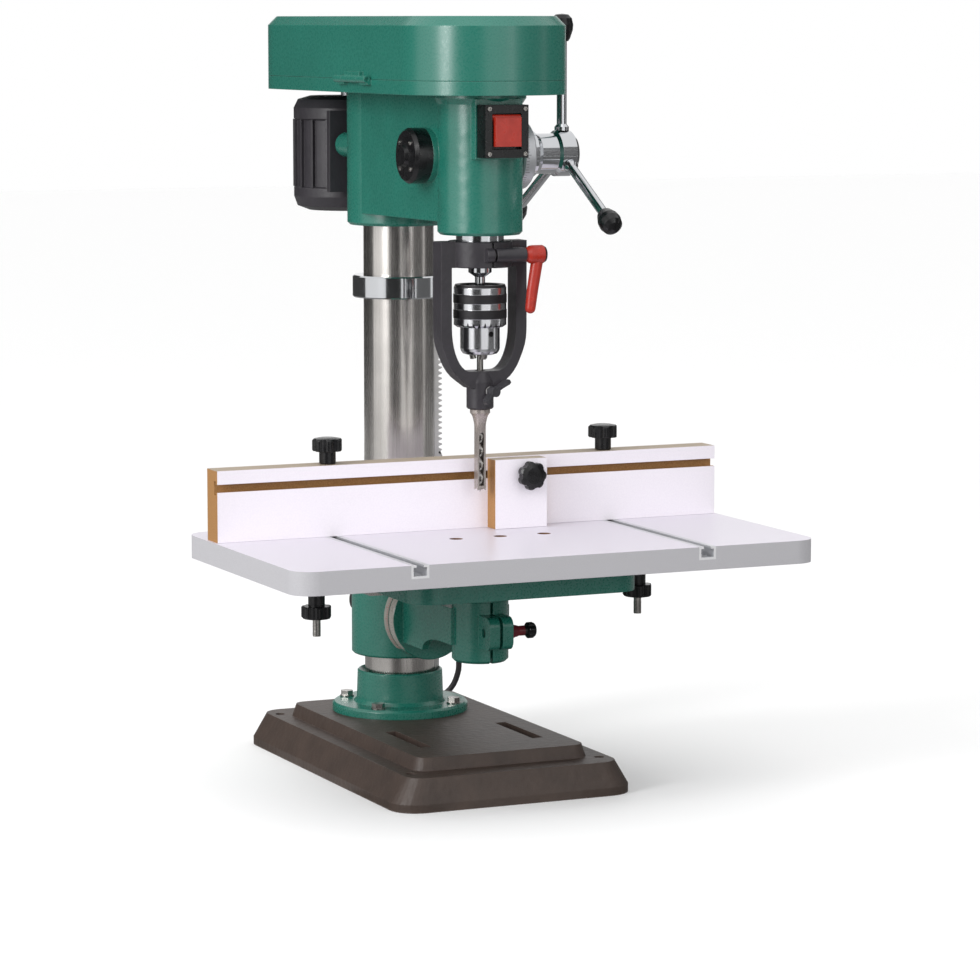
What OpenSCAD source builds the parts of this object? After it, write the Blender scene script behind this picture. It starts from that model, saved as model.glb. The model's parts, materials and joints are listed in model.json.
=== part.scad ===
// Benchtop drill press with a mortising yoke, an auxiliary table and a fence.
// Millimetres. The origin is the middle of the foot on the bench, +Z is up and the front is -Y.

/* [Base] */
// Width of the foot on the bench
base_w = 280; // [250:1:320]
// Depth of the foot on the bench
base_d = 460; // [430:1:520]
// Height of the raised pad
base_h = 50; // [44:1:70]
// Height of the rim step round the pad
step_h = 36; // [28:1:40]
// How far the rim step stands in from the foot
step_in = 16; // [10:1:22]
// Width of the raised pad
pad_w = 198; // [180:1:210]
// Depth of the raised pad
pad_d = 370; // [350:1:390]
// Wall of the base casting
base_wall = 10; // [7:1:14]
// Corner radius of the foot
base_r = 30; // [20:1:40]
// Distance of each clamping slot from the middle
slot_x = 67; // [40:1:75]
// Width of each clamping slot
slot_w = 13; // [8:0.5:16]
// Length of each clamping slot
slot_len = 100; // [60:1:110]
// Rear end of the clamping slots behind the spindle axis
slot_back = 94; // [60:1:98]
// Diameter of the bench bolt holes
bench_hole_d = 11; // [8:0.5:14]

/* [Column] */
// Diameter of the column
col_d = 80; // [72:0.5:86]
// Wall of the column tube
col_wall = 8; // [5:0.5:12]
// Length of the column above the base
col_h = 695; // [680:1:740]
// Column axis behind the middle of the base
col_y = 100; // [90:1:110]
// Spindle axis to column axis
throat = 224; // [215:1:235]
// Diameter of the column flange
flange_d = 155; // [150:1:170]
// Thickness of the column flange
flange_t = 10; // [8:1:14]
// Height of the flange neck above the base
neck_h = 47; // [40:1:52]
// Wall of the flange neck
neck_wall = 9; // [8:0.5:12]
// Bolt circle of the flange
flange_pcd = 132; // [126:1:140]
// Size of the flange bolts
flange_bolt_d = 8; // [8:0.5:10]
// Height of the rack collar above the base
collar_up = 474; // [440:1:480]
// Height of the rack collar
collar_h = 25; // [20:1:34]
// Wall of the rack collar
collar_wall = 12.5; // [10:0.5:16]

/* [Table bracket] */
// Module of the lift rack
rack_m = 2; // [1.5:0.25:2.5]
// Width of the lift rack
rack_w = 16; // [12:1:20]
// Back thickness of the lift rack
rack_back = 5.2; // [4:0.2:7]
// Teeth of the lift pinion
lift_teeth = 12; // [11:1:14]
// Gap between the flange neck and the bracket
bracket_up = 19.4; // [18.5:0.1:30]
// Height of the bracket sleeve
sleeve_h = 104; // [100:1:106]
// Wall of the bracket sleeve
sleeve_wall = 15; // [13:0.5:18]
// Height of the tilt axis above the foot of the sleeve
tilt_up = 51.6; // [50:0.2:53]
// Diameter of the tilt flange
tilt_d = 95; // [94:1:100]
// Tilt joint to spindle axis
arm_reach = 144; // [138:1:148]
// Size of the tilt bolt
tilt_bolt_d = 16; // [12:1:20]
// Throw of the lift crank
crank_throw = 54; // [46:1:56]

/* [Table] */
// Width of the table arm
arm_w = 70; // [60:1:70]
// Diameter of the table post
post_d = 36; // [30:1:40]
// Wall of the post boss
boss_wall = 13; // [10:0.5:15]
// Height of the post boss
boss_h = 67.3; // [64:0.1:70]
// Side of the square cast table
cast_w = 266; // [250:1:290]
// Height of the cast table rim
cast_t = 32; // [26:1:36]
// Length of the auxiliary table
board_w = 600; // [560:1:700]
// Depth of the auxiliary table
board_d = 330; // [310:1:340]
// Thickness of the auxiliary table
board_t = 25; // [22:1:32]
// Corner radius of the auxiliary table
board_r = 25; // [10:1:40]
// Auxiliary table centre in front of the spindle
board_front = 53; // [45:1:60]
// Distance of each track from the middle
track_x = 165; // [140:1:180]
// Width of the tracks
track_w = 20; // [19:0.5:24]
// Depth of the tracks
track_t = 14; // [13:0.5:16]
// Spacing of the holes in the auxiliary table
hole_step = 52; // [40:1:60]
// Diameter of the holes in the auxiliary table
hole_d = 15; // [8:1:18]
// Distance of each hold-down from the middle
hold_x = 192; // [186:1:205]
// Diameter of the star knobs
knob_d = 33; // [28:1:36]

/* [Fence] */
// Height of the fence
fence_h = 77; // [70:1:84]
// Thickness of the fence
fence_t = 31; // [29:1:34]
// Fence face behind the spindle axis
fence_back = 18; // [17:0.5:24]
// Height of the fence slot above the table
fence_slot_up = 58.2; // [50:0.2:60]
// Width of the fence slot mouth
fence_slot_w = 8.5; // [7.5:0.25:10]
// Width of the stop block
stop_w = 62; // [50:1:80]
// Thickness of the stop block
stop_t = 21; // [16:1:25]
// Stop block edge to the spindle axis
stop_gap = 17; // [16:0.5:40]
// Size of the clamping bolts
clamp_bolt_d = 6; // [5:0.5:7]

/* [Mortising set] */
// Diameter of the quill
quill_d = 52; // [48:1:54]
// How far the quill shows below the head
quill_out = 34; // [34:1:44]
// Side of the square chisel
chisel_w = 9.5; // [9:0.5:13]
// Length of the chisel below its shoulder
chisel_len = 84; // [76:1:90]
// Diameter of the chisel shank
chisel_shank_d = 19; // [16:0.5:20]
// Diameter of the chisel shoulder
chisel_collar_d = 22; // [21:0.5:24]
// Diameter of the bit
bit_d = 7.2; // [6.5:0.1:7.4]
// Diameter of the bit shank
bit_shank_d = 7; // [6:0.1:7.2]
// Outer width of the yoke
yoke_w = 101; // [98:1:110]
// Width of the yoke arms
yoke_arm = 12.5; // [10:0.5:14]
// Depth of the yoke arms
yoke_t = 22; // [18:0.5:26]
// Drop of the yoke opening below its clamp
yoke_drop = 112.5; // [108:0.5:118]
// Length of the yoke neck below the opening
yoke_neck = 41.5; // [38:0.5:46]
// Diameter of the yoke neck
yoke_neck_d = 29.5; // [28:0.5:34]
// Height of the yoke clamp ring
ring_h = 28; // [24:1:30]
// Diameter of the chuck sleeve
chuck_d = 58; // [54:1:62]
// Diameter of the chuck nose
nose_d = 43; // [41:1:44]

/* [Head] */
// Underside of the head above the base
head_up = 556; // [550:1:580]
// Height of the head casting
head_h = 150; // [145:1:160]
// Wall of the quill housing
quill_wall = 20; // [16:1:24]
// Wall of the column clamp
clamp_wall = 18; // [14:1:22]
// Height of the feed axis above the head underside
feed_up = 84; // [78:1:90]
// Module of the quill rack
feed_m = 1.5; // [1.25:0.25:1.75]
// Teeth of the feed pinion
feed_teeth = 14; // [13:1:16]
// Feed axis to the middle of a handle knob
handle_len = 138; // [110:1:142]
// Plane of the feed handles from the middle
handle_x = 114; // [112:1:124]
// Motor axis behind the spindle axis
motor_back = 374; // [370:1:390]
// Diameter of the motor
motor_d = 128; // [110:1:132]
// Height of the motor
motor_h = 132; // [120:1:134]
// Half width of the belt guard
guard_r = 92; // [90:1:96]
// Height of the guard lid
lid_h = 68; // [66:1:74]
// Height of one pulley step
pulley_step = 14; // [13.5:0.5:14]
// Middle diameter of both pulleys added together
pulley_sum = 190; // [180:1:194]
// Diameter of the driven step on the spindle
driven_d = 110; // [106:1:114]
// Change of diameter from step to step
pulley_drop = 20; // [17:1:21]

/* [Cord] */
// Diameter of the power cord
cord_d = 7; // [6:0.1:7]
// Outer radius of the coil
coil_r = 46; // [46:0.5:49]
// Spacing of the coil loops
coil_step = 7.6; // [7.6:0.1:8.2]

/* [Hidden] */
$fn = 48;
// Running clearance on a radius, clearance between faces that pass, and seat clearance
run = 0.06;
gap = 0.3;
seat = 0.02;

// Colours
green = "#2f7562";
iron = "#4c4544";
steel = "#9a9a98";
chrome = "#c9ccd0";
charcoal = "#39373a";
black = "#1b1b1d";
red = "#c63a2c";
dark_red = "#6d1f2a";
white = "#e9e6ee";
mdf = "#9a6b3f";
alloy = "#b9bcc0";
ivory = "#d8d2c4";

// Bench bolt holes beside the pad, and the ribs under it
bench_side = 13;
bench_end = 38;
bench_boss = 8;
rib_y = [for (k = [-0.33, -0.026, 0.37]) k*base_d];

// Levels and axes shared by several pieces
spindle_y = col_y - throat;
z_flange = base_h + flange_t;
z_neck = base_h + neck_h;
z_collar = base_h + collar_up;
z_sleeve = z_neck + bracket_up;
z_tilt = z_sleeve + tilt_up;
tilt_y = spindle_y + arm_reach;
boss_r = post_d/2 + boss_wall;
boss_drop = 27.3;
z_boss = z_tilt - boss_drop;
z_boss_top = z_boss + boss_h;
post_neck = 19;
z_cast = z_boss_top + post_neck;
z_board = z_cast + cast_t;
z_top = z_board + board_t;
z_head = base_h + head_up;
z_deck = z_head + head_h;
z_quill = z_head - quill_out;
col_r = col_d/2;
sleeve_r = col_r + sleeve_wall;
neck_r = col_r + neck_wall;

// Lift rack and pinion
lift_r = rack_m*lift_teeth/2;
rack_in = col_r + gap;
rack_root = rack_in + rack_back;
rack_pitch = rack_root + 1.2*rack_m;
rack_tip = rack_pitch + 0.9*rack_m;
lift_x = rack_pitch + lift_r;
z_lift = z_sleeve + sleeve_h/2;
bevel = 6;
shaft_r = 6;
ear_r = 15;
ear_y = col_y + sleeve_r + 8;
crank_y = ear_y + ear_r + 9;

// Table pieces
board_y = spindle_y - board_front;
ear_front = boss_r + 9;
z_ear = z_tilt + 9;
arm_ear_d = 34;
arm_ear_h = 36;
arm_ear_w = 28;
arm_slit = 3.5;
arm_bolt_r = 5;
hold_stud_d = 8.5;
strap_t = 5;
strap_w = 30;
strap_rise = 3;
knob_h = 14.5;
hub_d = 18;
hub_h = 14;
t_head = 13;
t_head_t = 4.6;
t_mouth = 8.4;
t_cavity = 15;
t_lip = 5;
t_deep = 11.5;

// Fence pieces
fence_y = spindle_y + fence_back;
fence_mid = fence_y + fence_t/2;
z_fence = z_top + fence_h;
z_slot = z_top + fence_slot_up;
slot_lip = 5;
slot_deep = 10;
slot_cavity = 15;
fence_w = board_w - 6;
stop_knob_x = stop_gap + stop_w*0.645;

// Mortising set
ring_wall = 9;
ring_r = quill_d/2 + ring_wall;
z_ring = z_quill - 1;
z_yoke = z_ring - yoke_drop;
z_yoke_end = z_yoke - yoke_neck;
z_chisel = z_yoke_end - 5 - chisel_len;
z_chuck = z_quill - 66;
chuck_h = 46;
nose_h = 30;
z_nose = z_chuck - nose_h;
clamp_y = spindle_y - ring_r - 2;
clamp_r = 7.5;
clamp_screw_r = 3;
z_clamp = z_ring + ring_h/2;
jaw_r = 3.4;
jaw_lean = 13;
jaw_low = 5;
key_turn = -80;
spindle_r = 10;
nose_r = 12.75;
arbor_r = 5.6;
// Outer bend of the yoke from its arm down to its neck, as parts of its width and height
yoke_bend = [[1, 1], [0.995, 0.9], [0.98, 0.8], [0.94, 0.69], [0.86, 0.565], [0.77, 0.45], [0.684, 0.355],
             [0.57, 0.262], [0.446, 0.185], [0.3, 0.12], [0.186, 0.075], [0, 0]];
wing_turn = -74;
wing_lean = -56;
z_wing = z_yoke_end + 20;

// Feed and head
feed_r = feed_m*feed_teeth/2;
feed_shaft_r = feed_r + 0.9*feed_m + 0.15;
quill_pitch = quill_d/2 - 0.9*feed_m;
feed_y = spindle_y + quill_pitch + feed_r;
z_feed = z_head + feed_up;
head_side = 50;
housing_r = quill_d/2 + quill_wall;
clamp_out = col_r + clamp_wall;
pulley_hub_r = 19;
motor_y = spindle_y + motor_back;
rod_r = 8;
rod_x = 36;
z_rod = z_head + 88;
plate_y = motor_y - motor_d/2 - 12;
plate_t = 8;
plate_half = motor_d*0.42;
pan_t = 3;
pan_h = 15;
guard_t = 2.5;
z_lid = z_deck + pan_h + gap;
z_pulley = z_deck + pan_h + 3;
pulley_steps = 4;
belt_h = 7;
belt_t = 7;
belt_step = 1;
hinge_r = 4;
hinge_x = -guard_r - hinge_r - 1;
lid_pin_r = 2;
switch_drop = 66;

// Power cord: its points by hand from the gland to the coil, then the coil by formula
cord_r = cord_d/2;
cord_z = 5.4;
coil_x = 60;
coil_y = base_d/2 + 14 + coil_r;
coil_in = coil_y + coil_r;
coil_turns = 4.5;
cord_points = [[24, 142, 584], [26, 146, 560], [38, 178, 505], [66, 232, 430], [108, 278, 360],
               [146, 300, 290], [162, 306, 200], [165, 306, 120], [167, coil_in - 27, 64], [167, coil_in - 23, 44],
               [160, coil_in - 17, 25], [142, coil_in - 8, 11], [115, coil_in - 2, 6],
               [90, coil_in, cord_z], [67, coil_in, cord_z]];

// Plain solids between two planes
module bar_x(r, x, y, z) {
    translate([x[0], y, z]) rotate([0, 90, 0]) cylinder(r = r, h = x[1] - x[0]);
}

module bar_y(r, x, y, z) {
    translate([x, y[0], z]) rotate([-90, 0, 0]) cylinder(r = r, h = y[1] - y[0]);
}

module bar_z(r, x, y, z) {
    translate([x, y, z[0]]) cylinder(r = r, h = z[1] - z[0]);
}

module block(x, y, z) {
    translate([x[0], y[0], z[0]]) cube([x[1] - x[0], y[1] - y[0], z[1] - z[0]]);
}

// A turned piece from its profile of radius and height
module turned(profile) {
    rotate_extrude() polygon(profile);
}

// A flat rectangle with round corners, centred
module round_rect(w, d, r) {
    square([w - 2*r, d], center = true);
    square([w, d - 2*r], center = true);
    for (x = [-1, 1], y = [-1, 1])
        translate([x*(w/2 - r), y*(d/2 - r)]) circle(r);
}

// A flat outline round two equal circles on the Y axis
module stadium(y0, y1, r) {
    translate([0, y0]) circle(r);
    translate([0, y1]) circle(r);
    translate([-r, y0]) square([2*r, y1 - y0]);
}

// Gear outline with straight flanks, first tooth on +X
function tooth_half(m) = PI*m/4 - 0.09*m;
function at(r, a) = [r*cos(a), r*sin(a)];
function degrees_of(length, r) = length/r*180/PI;
function gear(teeth, m) =
    let (r = teeth*m/2, root = r - 1.15*m, tip = r + 0.85*m, h = tooth_half(m))
    let (a0 = degrees_of(h + 0.2*m, root), a1 = degrees_of(h, r), a2 = degrees_of(h - 0.42*m, tip))
    [for (k = [0:teeth - 1]) let (a = k*360/teeth)
        each [at(root, a - a0), at(r, a - a1), at(tip, a - a2), at(tip, a + a2), at(r, a + a1),
            at(root, a + a0)]];

// One rack tooth as points of height and distance from the root
function rack_tooth(c, m) =
    let (h = tooth_half(m))
    [[0, c - h - 0.42*m], [2.1*m, c - h + 0.33*m], [2.1*m, c + h - 0.33*m], [0, c + h + 0.42*m]];

// A star knob on +Z with its hub below, drilled from the hub side
module star_knob(d, h, hub, hub_len, bore, bore_len) {
    lobes = 7;
    lobe_r = d*0.135;
    difference() {
        union() {
            turned([[0, 0], [hub/2 - 1, 0], [hub/2, 1], [hub/2, hub_len + 2], [0, hub_len + 2]]);
            translate([0, 0, hub_len]) intersection() {
                linear_extrude(h) {
                    circle(d*0.42);
                    for (k = [0:lobes - 1]) rotate(k*360/lobes) translate([d/2 - lobe_r, 0]) circle(lobe_r);
                }
                turned([[0, 0], [d/2 - 1.2, 0], [d/2 + 0.1, 1.4], [d/2 + 0.1, h - 3.2], [d/2 - 2, h - 1],
                    [d*0.28, h], [0, h]]);
            }
        }
        translate([0, 0, -1]) cylinder(d = bore, h = bore_len + 1);
    }
}

// Foot casting with a flared skirt, a step and a raised pad, open below
module base() {
    wall = base_wall;
    rib = 8;
    front = spindle_y + slot_back - slot_len;
    color(iron) difference() {
        union() {
            difference() {
                base_outside();
                hull() {
                    translate([0, 0, -1]) linear_extrude(9)
                        round_rect(base_w - 2*wall, base_d - 2*wall, base_r - wall, $fn = 32);
                    translate([0, 0, step_h - wall - 1]) linear_extrude(1)
                        round_rect(base_w - 2*step_in - 2*wall, base_d - step_in - 2*wall,
                            base_r - 8 - wall/2, $fn = 32);
                }
                translate([0, 0, step_h - wall - 1]) linear_extrude(base_h - step_h)
                    round_rect(pad_w - 2*wall, pad_d - 2*wall, 10);
            }
            at_bench_holes() bar_z(bench_hole_d/2 + bench_boss, 0, 0, [0, step_h - wall]);
            for (y = rib_y)
                block([-pad_w/2 + wall - 1, pad_w/2 - wall + 1], [y - rib/2, y + rib/2],
                    [12, base_h - wall - 0.5]);
        }
        for (side = [-1, 1])
            block([side*slot_x - slot_w/2, side*slot_x + slot_w/2], [front, front + slot_len],
                [base_h - 20, base_h + 1]);
        at_bench_holes() bar_z(bench_hole_d/2, 0, 0, [-1, step_h + 1]);
        at_flange_bolts() bar_z(flange_bolt_d/2 + gap, 0, 0, [base_h - 20, base_h + 1]);
    }
}

module base_outside() {
    hull() {
        linear_extrude(9) round_rect(base_w, base_d, base_r, $fn = 32);
        translate([0, 0, step_h - 3]) linear_extrude(3)
            round_rect(base_w - 2*step_in, base_d - step_in, base_r - 8, $fn = 32);
    }
    hull() {
        translate([0, 0, step_h - 1]) linear_extrude(1) round_rect(pad_w + 9, pad_d + 9, 18, $fn = 32);
        translate([0, 0, base_h - 3]) linear_extrude(3) round_rect(pad_w, pad_d, 14, $fn = 32);
    }
}

module at_bench_holes() {
    for (x = [-1, 1], y = [-1, 1])
        translate([x*(pad_w/2 + bench_side), y*(base_d/2 - bench_end), 0]) children();
}

module at_flange_bolts() {
    for (k = [0:3])
        translate([0, col_y, 0]) rotate(45 + 90*k) translate([flange_pcd/2, 0, 0]) children();
}

// Foot of the column with a bevelled lip that holds the rack's lower end
module column_flange() {
    r = col_r + seat;
    color(green) difference() {
        translate([0, col_y, 0]) turned([
            [r, base_h], [flange_d/2, base_h], [flange_d/2, z_flange - 2.5], [flange_d/2 - 2.5, z_flange],
            [neck_r + 4, z_flange], [neck_r + 0.6, z_flange + 4], [neck_r - 0.4, z_neck - 1.5],
            [neck_r - 2, z_neck], [r + bevel, z_neck], [r, z_neck - bevel]]);
        at_flange_bolts() bar_z(flange_bolt_d/2 + gap, 0, 0, [base_h - 1, z_flange + 1]);
    }
}

module flange_bolts() {
    color(steel) at_flange_bolts() {
        bar_z(flange_bolt_d/2, 0, 0, [base_h - 9, z_flange + 1]);
        bar_z(flange_bolt_d, 0, 0, [z_flange, z_flange + 1.6]);
        translate([0, 0, z_flange + 1.6]) cylinder(d = flange_bolt_d*1.85, h = flange_bolt_d*0.65, $fn = 6);
    }
}

module column() {
    color(steel) translate([0, col_y, 0]) turned([
        [col_r - col_wall, base_h], [col_r, base_h], [col_r, base_h + col_h - 2], [col_r - 2, base_h + col_h],
        [col_r - col_wall, base_h + col_h]]);
}

// Collar with a bevelled lip that holds the rack's upper end
module rack_collar() {
    r = col_r + seat;
    out = col_r + collar_wall;
    color(chrome) difference() {
        translate([0, col_y, 0]) turned([
            [r + bevel, z_collar], [out - 1.5, z_collar], [out, z_collar + 1.5],
                [out, z_collar + collar_h - 1.5],
            [out - 1.5, z_collar + collar_h], [r, z_collar + collar_h], [r, z_collar + bevel]]);
        translate([0, col_y, z_collar + collar_h/2]) rotate([90, 0, 200]) cylinder(d = 5, h = out + 1);
    }
}

// Rack with bevelled ends, free to swing round the column between the two lips
module lift_rack() {
    low = z_neck + 0.45;
    high = z_collar - 0.45;
    pitch = PI*rack_m;
    first = ceil((low + 4 - z_lift)/pitch);
    last = floor((high - 4 - z_lift)/pitch) - 1;
    teeth = [for (k = [first:last]) each rack_tooth(z_lift + (k + 0.5)*pitch, rack_m)];
    outline = concat([[rack_in, low - bevel + 0.7], [rack_root, low]],
                     [for (p = teeth) [rack_root + p[0], p[1]]],
                     [[rack_root, high], [rack_in, high + bevel - 0.7]]);
    color(alloy) translate([0, col_y + rack_w/2, 0]) rotate([90, 0, 0]) linear_extrude(rack_w)
        polygon(outline);
}

// Split sleeve with the tilt flange in front, the pinion case at the side and the clamp ears behind
module table_bracket() {
    face = tilt_y + 0.1;
    case_r = lift_r + rack_m + 6;
    color(green) difference() {
        union() {
            translate([0, col_y, 0]) turned([
                [0, z_sleeve], [sleeve_r - 2, z_sleeve], [sleeve_r, z_sleeve + 2],
                    [sleeve_r, z_sleeve + sleeve_h - 2],
                [sleeve_r - 2, z_sleeve + sleeve_h], [0, z_sleeve + sleeve_h]]);
            translate([0, face, z_tilt]) rotate([-90, 0, 0]) turned([
                [0, 0], [tilt_d/2, 0], [tilt_d/2, 12.5], [tilt_d/2 - 3, 14], [tilt_d/2 - 9, 24],
                    [tilt_d/2 - 12, 48], [0, 48]]);
            bar_y(case_r, lift_x, [col_y - rack_w/2 - 9, col_y + rack_w/2 + 9], z_lift);
            bar_y(shaft_r + 6, lift_x, [col_y, col_y + rack_w/2 + 26], z_lift);
            block([col_r, lift_x], [col_y - rack_w/2 - 5, col_y + rack_w/2 + 5],
                [z_lift - case_r + 2, z_lift + case_r - 2]);
            bar_x(ear_r, [-17, 17], ear_y, z_lift);
            block([-17, 17], [col_y + col_r + 3, ear_y], [z_lift - ear_r, z_lift + ear_r]);
        }
        bar_z(col_r + run, 0, col_y, [z_sleeve - 1, z_sleeve + sleeve_h + 1]);
        block([col_r - 4, rack_tip + 0.6], [col_y - rack_w/2 - 0.5, col_y + rack_w/2 + 0.5],
              [z_sleeve - 1, z_sleeve + sleeve_h + 1]);
        bar_y(lift_r + rack_m + 0.5, lift_x, [col_y - rack_w/2 - gap, col_y + rack_w/2 + gap], z_lift);
        bar_y(shaft_r + run, lift_x, [col_y - rack_w/2 - 6, crank_y], z_lift);
        block([-2, 2], [col_y + col_r - 3, ear_y + ear_r + 1], [z_sleeve - 1, z_sleeve + sleeve_h + 1]);
        bar_x(5 + run, [-18, 18], ear_y, z_lift);
        bar_y(tilt_bolt_d/2 + seat, 0, [face - 1, col_y - col_r - 2], z_tilt);
    }
}

// Sleeve clamp screw with its lever, behind the column
module bracket_lock() {
    color(black) {
        bar_x(5, [-32, 24], ear_y, z_lift);
        bar_x(8, [17 + gap, 25], ear_y, z_lift);
        bar_x(9, [-33, -17 - gap], ear_y, z_lift);
        bar_z(4.5, -26, ear_y, [z_lift, z_lift + 46]);
        translate([-26, ear_y, z_lift + 50]) sphere(7.5);
    }
}

// Lift pinion, its shaft and the crank arm in one piece
module lift_crank() {
    top = z_lift + crank_throw;
    color(steel) {
        translate([lift_x, col_y + rack_w/2, z_lift]) rotate([90, 0, 0]) linear_extrude(rack_w)
            rotate(180) polygon(gear(lift_teeth, rack_m));
        bar_y(shaft_r, lift_x, [col_y - rack_w/2 - 5.6, crank_y + 14], z_lift);
        bar_y(11, lift_x, [crank_y, crank_y + 14], z_lift);
        block([lift_x - 7, lift_x + 7], [crank_y + 3, crank_y + 11], [z_lift, top]);
        bar_y(9, lift_x, [crank_y + 3, crank_y + 11], top);
        bar_y(4, lift_x, [crank_y + 10, crank_y + 61], top);
        bar_y(6, lift_x, [crank_y + 58, crank_y + 61], top);
    }
}

module crank_handle() {
    color(black) translate([lift_x, crank_y + 11 + gap, z_lift + crank_throw]) rotate([-90, 0, 0]) turned([
        [4 + run, 0], [8, 0], [9, 1], [11.5, 14], [11.5, 28], [10, 42], [8, 46], [4 + run, 46]]);
}

module tilt_bolt() {
    face = tilt_y - 12;
    color(steel) {
        bar_y(tilt_bolt_d/2, 0, [face - 1, col_y - col_r - 3], z_tilt);
        translate([0, face - 0.1, z_tilt]) rotate([90, 0, 0]) cylinder(d = tilt_bolt_d*1.8, h = 11, $fn = 6);
    }
}

// Angle scale wrapped round the left rim of the tilt flange
module tilt_scale() {
    r = tilt_d/2 + seat;
    color(ivory) translate([0, tilt_y + 0.8, z_tilt]) rotate([-90, 0, 0]) rotate(180 - 47)
        rotate_extrude(angle = 94) translate([r, 0]) square([0.8, 11]);
}

// Hollow arm from the tilt joint to the split boss that holds the table post
module table_arm() {
    z_low = z_tilt - 25.5;
    z_high = z_boss_top - 8;
    disc = 12;
    root = tilt_y - disc;
    wall = 8;
    half = arm_w/2;
    arch_rise = 17;
    arch_run = 49;
    arch_y = tilt_y - 65;
    arch = [for (a = [0:15:90]) [arch_y - arch_run*(1 - cos(a)), z_low + arch_rise*sin(a)]];
    side = concat([[tilt_y - 2, z_low]], arch,
                  [[spindle_y, z_low + arch_rise], [spindle_y, z_high], [tilt_y - 2, z_high]]);
    ear_y0 = spindle_y - ear_front;
    color(green) difference() {
        union() {
            translate([0, tilt_y, z_tilt]) rotate([90, 0, 0]) turned([
                [0, 0], [tilt_d/2, 0], [tilt_d/2, disc - 1], [tilt_d/2 - 1, disc], [0, disc]]);
            translate([-half, 0, 0]) rotate([90, 0, 90]) linear_extrude(arm_w) polygon(side);
            translate([0, spindle_y, 0]) turned([
                [0, z_boss], [boss_r - 3, z_boss], [boss_r, z_boss + 3], [boss_r, z_boss_top],
                    [0, z_boss_top]]);
            translate([-arm_ear_w/2, ear_y0, z_ear]) rotate([90, 0, 90]) linear_extrude(arm_ear_w)
                round_rect(arm_ear_d, arm_ear_h, 10);
            block([-arm_ear_w/2, arm_ear_w/2], [ear_y0, spindle_y - boss_r + 6],
                [z_ear - arm_ear_h/2, z_ear + arm_ear_h/2]);
        }
        block([-half + wall, half - wall], [spindle_y + boss_r + 2, root], [z_low - 1, z_high - wall]);
        bar_y(tilt_bolt_d/2 + run, 0, [root - 1, tilt_y + 1], z_tilt);
        bar_z(post_d/2 + run, 0, spindle_y, [z_boss - 1, z_boss_top + 1]);
        block([-arm_slit/2, arm_slit/2], [ear_y0 - arm_ear_d/2 - 1, spindle_y - post_d/2 + 2],
            [z_boss - 1, z_boss_top + 1]);
        bar_x(arm_bolt_r + run, [-arm_ear_w, arm_ear_w], ear_y0, z_ear);
    }
}

// Clamp screw of the boss with its tapered hub and a small star grip
module arm_lock() {
    y = spindle_y - ear_front;
    x0 = arm_ear_w/2 + gap;
    color(dark_red) {
        bar_x(arm_bolt_r, [-arm_ear_w/2 + 3, x0 + 20], y, z_ear);
        translate([x0, y, z_ear]) rotate([0, 90, 0]) turned([[0, 0], [8.5, 0], [8.5, 2], [6, 12], [0, 12]]);
        translate([x0 + 10, y, z_ear]) rotate([0, 90, 0]) star_knob(18, 10, 11, 13, arm_bolt_r, 8);
    }
}

// Square table with a deep rim, ribs below and the post that turns in the arm
module cast_table() {
    rim = 10;
    top = 11;
    r = 30;
    color(green) difference() {
        union() {
            translate([0, spindle_y, z_cast]) linear_extrude(cast_t) round_rect(cast_w, cast_w, r);
            translate([0, spindle_y, 0]) turned([
                [0, z_boss_top + 0.1], [boss_r, z_boss_top + 0.1], [boss_r, z_cast - 5],
                    [boss_r + 6, z_cast + 1],
                [boss_r + 6, z_cast + cast_t - 1], [0, z_cast + cast_t - 1]]);
            bar_z(post_d/2, 0, spindle_y, [z_boss + 4, z_cast]);
        }
        difference() {
            translate([0, spindle_y, z_cast - 1]) linear_extrude(cast_t - top + 1)
                round_rect(cast_w - 2*rim, cast_w - 2*rim, r - rim);
            bar_z(boss_r + 6, 0, spindle_y, [z_cast - 2, z_board]);
            for (a = [0:45:135])
                translate([0, spindle_y, z_cast + cast_t/2 + 6]) rotate(a)
                    cube([cast_w*1.3, 7, cast_t - 6], center = true);
        }
        bar_z(post_d/2 - 8, 0, spindle_y, [z_boss, z_board - top]);
    }
}

// White auxiliary table with two track grooves, three holes and the stud holes
module table_board() {
    color(white) difference() {
        translate([0, board_y, z_board]) linear_extrude(board_t) round_rect(board_w, board_d, board_r);
        for (side = [-1, 1]) {
            block([side*track_x - track_w/2 - seat, side*track_x + track_w/2 + seat],
                  [board_y - board_d/2 - 1, board_y + board_d/2 + 1], [z_top - track_t - seat, z_top + 1]);
            bar_z(hold_stud_d/2 + seat, side*hold_x, spindle_y, [z_board - 1, z_top - 6]);
        }
        for (k = [-1:1]) bar_z(hole_d/2, k*hole_step, board_y, [z_top - 12, z_top + 1]);
    }
}

// Alloy tracks let into the auxiliary table
module t_tracks() {
    wall = (track_w - t_cavity)/2;
    outline = [[-track_w/2, 0], [track_w/2, 0], [track_w/2, track_t], [t_mouth/2, track_t],
               [t_mouth/2, track_t - t_lip/2], [track_w/2 - wall, track_t - t_lip/2],
               [track_w/2 - wall, track_t - t_deep], [wall - track_w/2, track_t - t_deep],
               [wall - track_w/2, track_t - t_lip/2], [-t_mouth/2, track_t - t_lip/2],
               [-t_mouth/2, track_t], [-track_w/2, track_t]];
    color(alloy) for (side = [-1, 1])
        translate([side*track_x, board_y + board_d/2, z_top - track_t]) rotate([90, 0, 0])
            linear_extrude(board_d) polygon(outline);
}

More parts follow.
